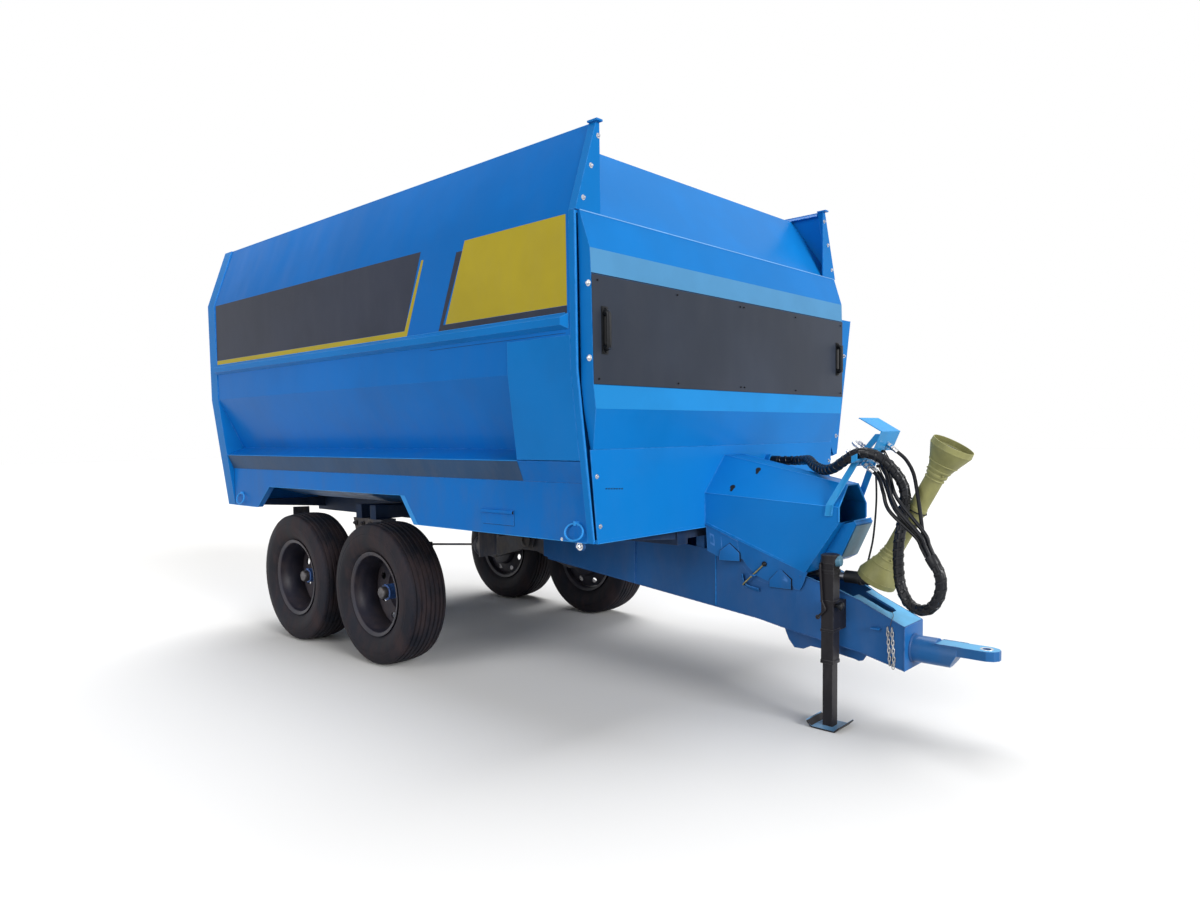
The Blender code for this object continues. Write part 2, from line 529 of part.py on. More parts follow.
def make_rack():
    posts = []
    for s in (-1, 1):
        rings = []
        for i, (x, y, z, deep, wide) in enumerate(RACK_POST):
            skew = 0.007 * (i < 2)  # the foot lies along the guard's side
            rings.append([(X_FRONT + x + a * deep, s * (y - a * skew / 2 + b * wide), z)
                          for a, b in ((-1, -1), (1, -1), (1, 1), (-1, 1))])
        posts.append(loft("post", rings))
    rack = sheet("hose_rack", ahead(HOOD), 0.005, -0.120, 0.120, axis="y")
    holder = sheet("holder", ahead([(0.888, 1.424), (0.960, 1.520)]), 0.005, -0.114, 0.114, axis="y")
    plugs = []
    for x, y, z, half in COUPLERS:
        middle = Vector((X_FRONT + x, y, z))
        ends = [middle + side * half * COUPLER_AXIS for side in (1, -1)]
        plugs.append(tube_between("coupler", *ends, COUPLER_R, 12))
    hook = loft("hook", [[(X_FRONT + x, y, z + up) for y, up in HOOK] for x, z in HOOK_BED])
    x, y, z = SIDE_HOSE[0]
    clip = tube_between("clip", (x, y - 0.038, z), (x, y - 0.001, z), SIDE_HOSE_R + 0.005, 12)
    joined(rack, adds=posts + [holder, *plugs, hook, clip])


# jack: a square tube with a screw head, welded to the drawbar, and the leg inside it
def make_jack():
    x, y = X_FRONT + JACK_OUT, JACK_Y
    half, top, foot_z = JACK_HALF, 0.935, 0.355
    body = box("jack_body", (x - half, x + half), (y - half, y + half), (foot_z, top))
    bore = box("bore", (x - JACK_BORE, x + JACK_BORE), (y - JACK_BORE, y + JACK_BORE), (0.3, top - 0.020))
    joined(body, cuts=[bore])
    head = tube_between("head", (x, y, top - 0.030), (x, y, top + 0.015), half + 0.016, 16)
    side = y + half - 0.003
    wide = 0.030
    plan = [(x - wide, side), (x + wide, side), (x + wide, -draw_side(x + wide) - GAP),
            (x - wide, -draw_side(x - wide) - GAP)]
    arm = prism("arm", "z", 0.530, 0.690, plan)
    joined(body, adds=[head, arm])
    half = JACK_BORE - JACK_PLAY
    leg = box("jack_leg", (x - half, x + half), (y - half, y + half), (0.006, top - 0.035 - JACK_LIFT))
    line = [(x - 0.100, 0.030), (x - 0.070, 0.0), (x + 0.070, 0.0), (x + 0.100, 0.030)]
    joined(leg, adds=[sheet("foot", line, 0.008, y - 0.085, y + 0.085, axis="y")])
    PIVOTS["jack_leg"] = (x, y, 0)


def draw_side(x):
    """Half width of the drawbar where it narrows."""
    return DRAW_HALF - (x - X_FRONT - 0.574) / 0.350 * (DRAW_HALF - DRAW_NOSE)


# drive shafts: the gearbox stub, the implement yoke, the guarded shaft tied up and its tractor yoke
SHAFT_LOW, SHAFT_TOP = Vector((X_FRONT + 0.964, 0, 0.785)), Vector((X_FRONT + 1.381, 0, 1.542))
CONE = ((0.0, 0.111), (0.030, 0.113), (0.115, 0.075), (0.150, 0.060), (0.185, 0.052), (0.190, 0.0495))


def make_shafts():
    stub = X_FRONT + 0.784
    tube_between("input_shaft", (X_FRONT + 0.3546, 0, SHAFT_Z), (stub, 0, SHAFT_Z), SHAFT_R, 12)
    along = (SHAFT_TOP - SHAFT_LOW).normalized()
    length = 0.864
    outer = list(CONE) + [(length - d, r) for d, r in CONE[::-1]]
    hollow = [(0.118, 0.0), (0.1179, 0.068), (0.030, 0.109), (0.0, 0.107)]
    profile = hollow + outer + [(length - d, r) for d, r in hollow[::-1]]
    turned_along("shaft_guard", SHAFT_LOW, along, profile, 24)
    yoke = tube_between("shaft_yoke", (stub + GAP, 0, SHAFT_Z), (stub + 0.175, 0, SHAFT_Z), 0.036, 16)
    cross = [(0.0, 0.0), (0.012, 0.030), (0.045, 0.045), (0.078, 0.030), (0.090, 0.0)]
    centre = Vector((X_FRONT + 0.976, 0, 0.800)) - 0.045 * along
    fork = [(0.015, 0.0), (0.015, 0.030), (0.1172, 0.036), (0.1172, 0.0)]
    joined(yoke, adds=[turned_along("cross", centre, along, cross, 16),
                       turned_along("fork", SHAFT_LOW, along, fork, 16)])
    # hub with its bore, and a collar that seats in the upper cone
    seat = length - 0.118 + 0.0008
    hub = [(seat + 0.030, 0.0175), (seat + 0.095, 0.0175), (seat + 0.095, 0.036), (seat + 0.030, 0.036)]
    neck = [(seat, 0.0), (seat, 0.036), (seat + 0.020, 0.045), (seat + 0.040, 0.036), (seat + 0.040, 0.0)]
    tractor = turned_along("tractor_yoke", SHAFT_LOW, along, neck, 16)
    joined(tractor, adds=[turned_along("hub", SHAFT_LOW, along, hub, 16, bored=True)])


# running gear: on each side a rocker beam with two stub axles hangs on a pin between two plates
ROCKER = ((-0.665, 0.450), (-0.665, 0.560), (-0.520, 0.600), (-0.120, 0.730), (0.120, 0.730), (0.520, 0.600),
          (0.665, 0.560), (0.665, 0.450), (0.520, 0.430), (0.100, 0.545), (-0.100, 0.545), (-0.520, 0.430))
TYRE = ((-0.105, 0.2925), (-0.120, 0.310), (-0.148, 0.365), (-0.156, 0.405), (-0.150, 0.450), (-0.132, 0.492),
        (-0.100, 0.504), (0.0, 0.507), (0.100, 0.504), (0.132, 0.492), (0.150, 0.450), (0.156, 0.405),
        (0.148, 0.365), (0.120, 0.310), (0.105, 0.2925))
RIM = ((-0.1200, 0.2908), (0.1200, 0.2908), (0.1265, 0.3010), (0.1290, 0.2990), (0.1160, 0.272),
       (0.070, 0.262), (-0.020, 0.258), (-0.1160, 0.272), (-0.1290, 0.2990), (-0.1265, 0.3010))
WEB = ((-0.160, 0), (-0.160, 0.150), (-0.120, 0.170), (-0.085, 0.280), (-0.070, 0.280), (-0.100, 0.165),
       (-0.140, 0.140), (-0.140, 0.100), (0.030, 0.100), (0.050, 0.085), (0.075, 0.060), (0.075, 0.0))


def make_running_gear(s, side):
    plate_in = HUB_IN - 0.024 - HANGER_PLATE
    beam_out = plate_in - 0.011
    beam_in = beam_out - BEAM_WIDE
    reach = BEAM_WIDE + 0.022 + HANGER_PLATE
    beam = prism(f"rocker_beam_{side}", "y", *span(s, beam_in, beam_out), ROCKER)
    inner, outer = s * (beam_in + 0.019), s * (HUB_IN - GAP)
    stubs = [tube_between("stub", (x, inner, TYRE_R), (x, outer, TYRE_R), 0.062, 20) for x, _ in AXLES]
    bore = tube_between("bore", (0, s * (beam_in - 0.1), PIN_Z), (0, s * HUB_IN, PIN_Z), PIN_R + PIN_PLAY, 24)
    joined(beam, adds=stubs)
    joined(beam, cuts=[bore])
    outline = [(-0.200, CROSS_FOOT), (-0.075, PIN_Z - 0.060), (0.075, PIN_Z - 0.060), (0.200, CROSS_FOOT)]
    outer, inner = (prism(f"hanger_{side}", "y", *span(s, y, y + HANGER_PLATE), outline)
                    for y in (plate_in, plate_in - reach))
    across = span(s, plate_in - reach + 0.010, plate_in + 0.004)
    top = box("top", (-0.199, 0.199), across, (0.950, CROSS_FOOT - 0.0004))
    ends = (plate_in - reach - 0.010, plate_in + HANGER_PLATE + 0.010)
    pin = tube_between("pin", *[(0, s * y, PIN_Z) for y in ends], PIN_R, 24)
    joined(outer, adds=[inner, top, pin])


def make_wheel(s, side, x, end):
    centre = (x, s * WHEEL_Y, TYRE_R)
    wide, tall = TYRE_W / 0.312, TYRE_R / 0.507
    bead = RIM_R + 0.0017
    tyre = [(a * wide, bead + (r - 0.2925) / (0.507 - 0.2925) * (TYRE_R - bead)) for a, r in TYRE]
    turned(f"tyre_{end}_{side}", centre, tyre, 40)
    rim = turned(f"wheel_{end}_{side}", centre, [(s * a * wide, r + RIM_R - 0.2908) for a, r in RIM], 24)
    reach = HUB_REACH / 0.160
    web = disc("web", centre, [(s * a * (reach if a < 0 else 1), r) for a, r in WEB], 24)
    joined(rim, adds=[web])
    PIVOTS[f"tyre_{end}_{side}"] = PIVOTS[f"wheel_{end}_{side}"] = centre


# mixing reel of three spiders with six paddle bars, and two augers with one flight each
def make_reel():
    ends = (X_REAR_IN + 0.0008, WALL_X[1] - 0.0002)
    reel = tube_between("mixing_reel", (ends[0], REEL_Y, REEL_Z), (ends[1], REEL_Y, REEL_Z), 0.070, 12)
    adds, arm, bar = [], 0.035, 0.030
    for x in (X_REAR_IN + 0.170, 0.620, X_FRONT - 0.236):
        for k in range(3):
            c, s = math.cos(math.pi * k / 3), math.sin(math.pi * k / 3)
            out = REEL_R + 0.010
            outline = [(REEL_Y + a * out * c - b * arm * s, REEL_Z + a * out * s + b * arm * c)
                       for a, b in ((-1, -1), (1, -1), (1, 1), (-1, 1))]
            adds.append(prism("arm", "x", x, x + 0.030, outline))
    for k in range(6):
        y = REEL_Y + REEL_R * math.cos(math.pi * k / 3)
        z = REEL_Z + REEL_R * math.sin(math.pi * k / 3)
        adds.append(box("bar", (X_REAR_IN + 0.050, X_FRONT - 0.116), (y - bar, y + bar), (z - bar, z + bar)))
    joined(reel, adds=adds)
    PIVOTS["mixing_reel"] = (0, REEL_Y, REEL_Z)


def make_auger(name, y, z, hand):
    x0, x1, steps, thick = X_REAR_IN + 0.070, X_FRONT - 0.136, 8, 0.005
    count = AUGER_TURNS * steps
    flight = []
    for k in range(count + 1):
        t = 2 * math.pi * k / steps * hand
        x = x0 + (x1 - x0) * k / count
        flight.append([(x + dx, y + r * math.cos(t), z + r * math.sin(t))
                       for dx, r in ((-thick, 0.040), (-thick, AUGER_R), (thick, AUGER_R), (thick, 0.040))])
    shaft = tube_between(name, (X_REAR_IN + 0.0008, y, z), (WALL_X[1] - 0.0002, y, z), 0.055, 12)
    joined(shaft, adds=[loft("flight", flight)])
    PIVOTS[name] = (0, y, z)


# discharge on the left: a door that slides up and a chute that folds down
def make_discharge():
    low, high = DOOR_Z[0] - 0.010, DOOR_Z[1] + 0.025
    corners = ((low, 0.0057), (high, 0.0057), (high, 0.0117), (low, 0.0117))
    door = [(left_face(z, out), z) for z, out in corners]
    prism("discharge_door", "x", DOOR_X[0] - DOOR_LAP, DOOR_X[1] + DOOR_LAP, door)
    PIVOTS["discharge_door"] = (sum(DOOR_X) / 2, left_face(low, 0.0057), low)

    x0, x1, y, z = DOOR_X[0] - 0.060, DOOR_X[1] + 0.060, CHUTE_Y, CHUTE_Z
    plate = [(y, z + 0.030), (y + 0.075, z + 0.044), (y + 0.295, z + 1.080)]
    chute = sheet("discharge_chute", plate, 0.005, x0, x1, side=-1)
    cheek = [(y + 0.020, z + 0.0365), (y + 0.0775, z + 0.048), (y + 0.2975, z + 1.078), (y + 0.100, z + 1.078),
             (y - 0.050, z + 0.580), (y - 0.050, z + 0.160)]
    adds = [prism("cheek", "x", x, x + SHEET, cheek) for x in (x0, x1 - SHEET)]
    for x in (x0 + 0.150, x1 - 0.250):
        adds.append(box("strap", (x, x + 0.080), (y - 0.016, y + 0.016), (z - 0.014, z + 0.0345)))
    bore = tube_between("bore", (x0 + 0.1, y, z), (x1 - 0.1, y, z), CHUTE_PIN + 0.0009, 24)
    joined(chute, adds=adds, cuts=[bore])
    PIVOTS["discharge_chute"] = ((x0 + x1) / 2, y, z)

    rod = tube_between("chute_bracket", (x0 + 0.015, y, z), (x1 - 0.015, y, z), CHUTE_PIN, 12)
    foot = SKIRT_Y + GAP
    arm = [(foot, z - 0.080), (foot, z - 0.220), (y + 0.015, z - 0.015), (y + 0.015, z + 0.012),
           (y - 0.018, z + 0.012)]
    joined(rod, adds=[prism("arm", "x", x, x + 0.040, arm) for x in (x0 + 0.020, x1 - 0.060)])


# hoses: a wrapped bundle leaves a gland beside the guard, crosses its ridge, is held by the rack's
# hook, hangs in one loop and ends where five lines leave it for their couplers
BUNDLE = ahead([
    (0.060, 0.400, 1.430), (0.190, 0.400, 1.430), (0.245, 0.392, 1.431), (0.340, 0.335, 1.438),
    (0.440, 0.205, 1.440), (0.550, 0.075, 1.411), (0.660, -0.020, 1.3965), (0.760, -0.098, 1.414), (0.845, -0.146, 1.456),
    (0.934, -0.158, 1.4985), (1.030, -0.147, 1.484), (1.112, -0.112, 1.405), (1.158, -0.086, 1.300),
    (1.156, -0.096, 1.170), (1.142, -0.114, 1.030), (1.142, -0.118, 0.900), (1.158, -0.124, 0.795),
    (1.205, -0.138, 0.715), (1.275, -0.160, 0.688), (1.345, -0.182, 0.715), (1.392, -0.197, 0.795),
    (1.392, -0.204, 0.890), (1.342, -0.205, 0.980)])
RING = 0.0185  # the five lines leave the bundle's end from a ring of this radius
LINES = (  # place on that ring, and the points that the line passes on its way to its coupler
    (1, ((1.165, -0.218, 1.225), (1.102, -0.152, 1.318), (1.060, -0.098, 1.386))),
    (0, ((1.190, -0.190, 1.228), (1.132, -0.150, 1.285), (1.090, -0.098, 1.342), (1.056, -0.050, 1.396))),
    (2, ((1.135, -0.222, 1.200), (1.070, -0.152, 1.288), (1.026, -0.098, 1.348))),
    (3, ((1.152, -0.186, 1.202), (1.068, -0.100, 1.302), (1.026, -0.052, 1.350))),
    (4, ((1.266, -0.142, 1.182), (1.228, -0.090, 1.286), (1.180, -0.026, 1.388), (1.124, 0.012, 1.458))))
SIDE_HOSE = ahead([(0.862, 0.161, 1.400), (0.862, 0.192, 1.400), (0.862, 0.214, 1.360), (0.862, 0.222, 1.200),
                   (0.850, 0.212, 1.000), (0.838, 0.182, 0.880), (0.832, 0.163, 0.820), (0.832, 0.163, 0.790),
                   (0.832, 0.163, 0.760)])


def ring_point(middle, along, k, radius):
    side = along.cross(Vector((0, 0, 1))).normalized()
    up = side.cross(along)
    turn = 2 * math.pi * k / 5 + math.pi / 2
    return middle + radius * (math.cos(turn) * side + math.sin(turn) * up)


def make_hoses():
    seat = 0.001
    hose("hose_bundle", BUNDLE, BUNDLE_R)
    end, before = smooth_route([Vector(p) for p in BUNDLE], 4 * BUNDLE_R)[:-3:-1]
    along = (end - before).normalized()
    for k, ((slot, by), (x, y, z, half)) in enumerate(zip(LINES, COUPLERS)):
        points = [ring_point(end + far * along, along, slot, RING + spread)
                  for far, spread in ((seat, 0.0), (0.055, 0.002), (0.115, 0.006))]
        tail = Vector((X_FRONT + x, y, z)) - (half + seat) * COUPLER_AXIS
        points += [Vector(p) for p in ahead(by)] + [tail - 5 * HOSE_R * COUPLER_AXIS, tail]
        hose(f"hose_line_{k + 1}", points, HOSE_R)
    hose("side_hose", SIDE_HOSE, SIDE_HOSE_R)


def finish():
    """Colours, origins on the joints' axes, and one empty that carries the whole wagon."""
    materials = {}
    for name, (red, green, blue, rough, metal) in FINISHES.items():
        material = materials[name] = bpy.data.materials.new(name)
        material.use_nodes = True
        shader = material.node_tree.nodes["Principled BSDF"].inputs
        shader["Base Color"].default_value = (red, green, blue, 1.0)
        shader["Roughness"].default_value = rough
        shader["Metallic"].default_value = metal
    wagon = bpy.data.objects.new("wagon", None)
    SCENE.collection.objects.link(wagon)
    wagon.location = (SHIFT, SHIFT_Y, 0)
    for obj in list(SCENE.objects):
        if obj == wagon:
            continue
        slot = next((slot for start, slot in FINISH_OF if obj.name.startswith(start)), "blue")
        obj.data.materials.clear()
        obj.data.materials.append(materials[slot])
        if obj.type == "MESH":
            obj.data.shade_smooth()
            obj.data.set_sharp_from_angle(angle=math.radians(30))
            origin = Vector(PIVOTS.get(obj.name, (0, 0, 0)))
            obj.data.transform(Matrix.Translation(-origin))
            obj.location = origin
        obj.parent = wagon
    bpy.context.view_layer.update()


for SIGN, SIDE in SIDES:
    make_side(SIGN, SIDE)
    make_running_gear(SIGN, SIDE)
    for AT, END in AXLES:
        make_wheel(SIGN, SIDE, AT, END)
make_floor()
make_end_walls()
make_front_board()
make_front()
make_chassis()
make_drawbar()
make_tow_eye()
make_guard()
make_rack()
make_jack()
make_shafts()
make_reel()
for AUGER in AUGERS:
    make_auger(*AUGER)
make_discharge()
make_hoses()
finish()
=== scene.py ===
"""Looks of the feed mixer wagon: paint, tyres, hoses and small fittings, around the fixed frame.

Places are given from the middle of the tandem, as in the part, or ahead of the front wall.
"""

import math
import random

import bmesh
import bpy
from mathutils import Matrix, Vector


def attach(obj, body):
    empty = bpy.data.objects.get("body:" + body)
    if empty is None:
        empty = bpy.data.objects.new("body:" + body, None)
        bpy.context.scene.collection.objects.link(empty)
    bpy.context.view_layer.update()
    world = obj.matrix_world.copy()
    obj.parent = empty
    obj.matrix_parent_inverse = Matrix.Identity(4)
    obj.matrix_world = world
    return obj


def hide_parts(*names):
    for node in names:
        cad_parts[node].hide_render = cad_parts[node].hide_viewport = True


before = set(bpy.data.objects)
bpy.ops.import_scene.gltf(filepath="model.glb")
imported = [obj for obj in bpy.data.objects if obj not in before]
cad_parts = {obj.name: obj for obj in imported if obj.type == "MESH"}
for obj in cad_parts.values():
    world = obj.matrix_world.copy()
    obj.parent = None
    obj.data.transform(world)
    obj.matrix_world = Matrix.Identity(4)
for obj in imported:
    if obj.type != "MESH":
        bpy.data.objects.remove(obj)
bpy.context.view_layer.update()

SHIFT = Vector((-1.401, -0.2030, 0.0))  # from the middle of the tandem to the row's frame
FRONT = 2.776  # front wall
SIDES = ((-1, "right"), (1, "left"))
AXLES = ((0.565, "front"), (-0.565, "rear"))
BAND_Y = 1.365  # upright band of the side walls
SKIRT_FACE = 1.2637  # just outside the skirts
TYRE_R, WHEEL_Y = 0.507, 1.074
X, Y, Z = Vector((1, 0, 0)), Vector((0, 1, 0)), Vector((0, 0, 1))


def at(x, y, z):
    return Vector((x, y, z)) + SHIFT


def ahead(x, y, z):
    """A place measured from the front wall, forward."""
    return at(FRONT + x, y, z)


def link(name, data):
    made = bpy.data.objects.new(name, data)
    bpy.context.scene.collection.objects.link(made)
    return made


# camera, from the photograph's perspective
def make_camera():
    yaw, pitch, roll = (math.radians(a) for a in (48.191, -3.63, -0.723))
    look = Vector((-math.cos(yaw) * math.cos(pitch), math.sin(yaw) * math.cos(pitch), math.sin(pitch)))
    right = look.cross(Z).normalized()
    up = right.cross(look)
    c, s = math.cos(roll), math.sin(roll)
    right, up = c * right + s * up, c * up - s * right
    data = bpy.data.cameras.new("camera")
    data.sensor_fit, data.sensor_width, data.lens = "HORIZONTAL", 36, 24.717
    data.shift_x, data.shift_y = -0.014876, 0.029357
    camera = link("camera", data)
    matrix = Matrix((right, up, -look)).transposed().to_4x4()
    matrix.translation = at(5.702, -4.339, 1.623)
    camera.matrix_world = matrix
    bpy.context.scene.camera = camera


# materials
def node(tree, kind, inputs=(), **settings):
    made = tree.nodes.new("ShaderNode" + kind)
    for key, value in settings.items():
        setattr(made, key, value)
    for key, value in dict(inputs).items():
        if isinstance(value, bpy.types.NodeSocket):
            tree.links.new(value, made.inputs[key])
        else:
            made.inputs[key].default_value = value
    return made


def blend_colours(tree, share, a, b):
    return node(tree, "Mix", {0: share, 6: a, 7: b}, data_type="RGBA").outputs[2]


def number(tree, operation, a, b=0.0, clamp=False):
    return node(tree, "Math", {0: a, 1: b}, operation=operation, use_clamp=clamp).outputs[0]


def times(tree, a, b):
    return number(tree, "MULTIPLY", a, b)


def ramp(tree, value, low, high, out_low=0.0, out_high=1.0):
    made = node(tree, "MapRange", {0: value, 1: low, 2: high, 3: out_low, 4: out_high}, interpolation_type="SMOOTHSTEP")
    return made.outputs[0]


def noise(tree, scale, stretch=(1, 1, 1), detail=4.0, rough=0.55):
    place = node(tree, "TexCoord").outputs["Object"]
    place = node(tree, "Mapping", {"Vector": place, "Scale": stretch}).outputs[0]
    return node(tree, "TexNoise", {"Vector": place, "Scale": scale, "Detail": detail, "Roughness": rough}).outputs[0]


def rgba(colour, factor=1.0):
    return (*[min(c * factor, 1.0) for c in colour], 1.0)


def edge_mask(tree):
    """Share of lightening along sharp edges, partly rubbed paint and partly painted highlight, broken up by noise."""
    soft = node(tree, "Bevel", {"Radius": 0.006}, samples=4).outputs[0]
    plain = node(tree, "NewGeometry").outputs["Normal"]
    turn = node(tree, "VectorMath", {0: soft, 1: plain}, operation="DOT_PRODUCT").outputs["Value"]
    return times(tree, ramp(tree, turn, 0.99, 0.90), ramp(tree, noise(tree, 34, detail=6.0), 0.34, 0.60))


def surface(name, colour, rough, coat, level, mottle, grain=(350, 0.00004), grime=None, spots=None, waves=None, wear=0.0,
            metallic=0.0, spread=0.10):
    """A finish whose colour and roughness vary over the surface, with a fine relief.

    grime is (colour, most, height where it ends if any), spots (colour, scale, threshold), and the edge setting
    the most that the paint lightens along edges, partly as rubbed paint and partly as a painted highlight.
    """
    material = bpy.data.materials.new(name)
    material.use_nodes = True
    material.diffuse_color = rgba(colour)
    tree = material.node_tree
    shader = tree.nodes["Principled BSDF"]
    for socket, value in (("Metallic", metallic), ("Coat Weight", coat), ("Coat Roughness", 0.10),
                          ("Specular IOR Level", level)):
        shader.inputs[socket].default_value = value
    patches = noise(tree, mottle[0])
    share = ramp(tree, patches, 0.35, 0.65)
    base = blend_colours(tree, share, rgba(colour, 1 - mottle[1]), rgba(colour, 1 + mottle[1]))
    dull = number(tree, "ADD", times(tree, patches, 2 * spread), rough - spread)

    def cover(mask, over, roughen):
        return (blend_colours(tree, mask, base, rgba(over)),
                number(tree, "ADD", dull, times(tree, mask, roughen), clamp=True))

    if spots:
        mask = ramp(tree, noise(tree, spots[1], detail=8.0, rough=0.7), spots[2], spots[2] + 0.05)
        base, dull = cover(mask, spots[0], 0.25)
    if grime:
        dirt, most, *height = grime
        mask = times(tree, ramp(tree, noise(tree, 7.0, (1, 1, 0.35), 8.0, 0.65), 0.38, 0.72), most)
        if height:
            up = node(tree, "SeparateXYZ", {0: node(tree, "TexCoord").outputs["Object"]}).outputs[2]
            mask = times(tree, mask, ramp(tree, up, 0.2, height[0], 1.0, 0.12))
        base, dull = cover(mask, dirt, 0.4)
    # paint lighter along sharp edges: partly rubbed paint, partly a painted highlight on the edges
    if wear:
        base, dull = cover(times(tree, edge_mask(tree), wear), [0.09 + 1.5 * c for c in colour], 0.2)
    relief = times(tree, noise(tree, grain[0], detail=2.0), grain[1])
    if waves:
        relief = number(tree, "ADD", relief, waves(tree))
    bump = node(tree, "Bump", {"Height": relief, "Distance": 1.0, "Strength": 1.0})
    tree.links.new(base, shader.inputs["Base Color"])
    tree.links.new(dull, shader.inputs["Roughness"])
    tree.links.new(bump.outputs[0], shader.inputs["Normal"])
    return material


def sheet_waves(tree):
    """Slow ripples of thin side sheets, strongest above the rim and towards the rear."""
    place = node(tree, "SeparateXYZ", {0: node(tree, "TexCoord").outputs["Object"]})
    along, up = place.outputs[0], place.outputs[2]
    slow = noise(tree, 2.1, (1.0, 0.2, 0.55), 2.0, 0.4)
    share = times(tree, ramp(tree, along, 0.9, -2.4, 0.25, 1.0), ramp(tree, up, 2.2, 2.9, 0.25, 1.0))
    return times(tree, times(tree, slow, share), 0.045)


DUST = (0.17, 0.17, 0.17)
PEEL, FINE = (220, 0.00003), (260, 0.00002)
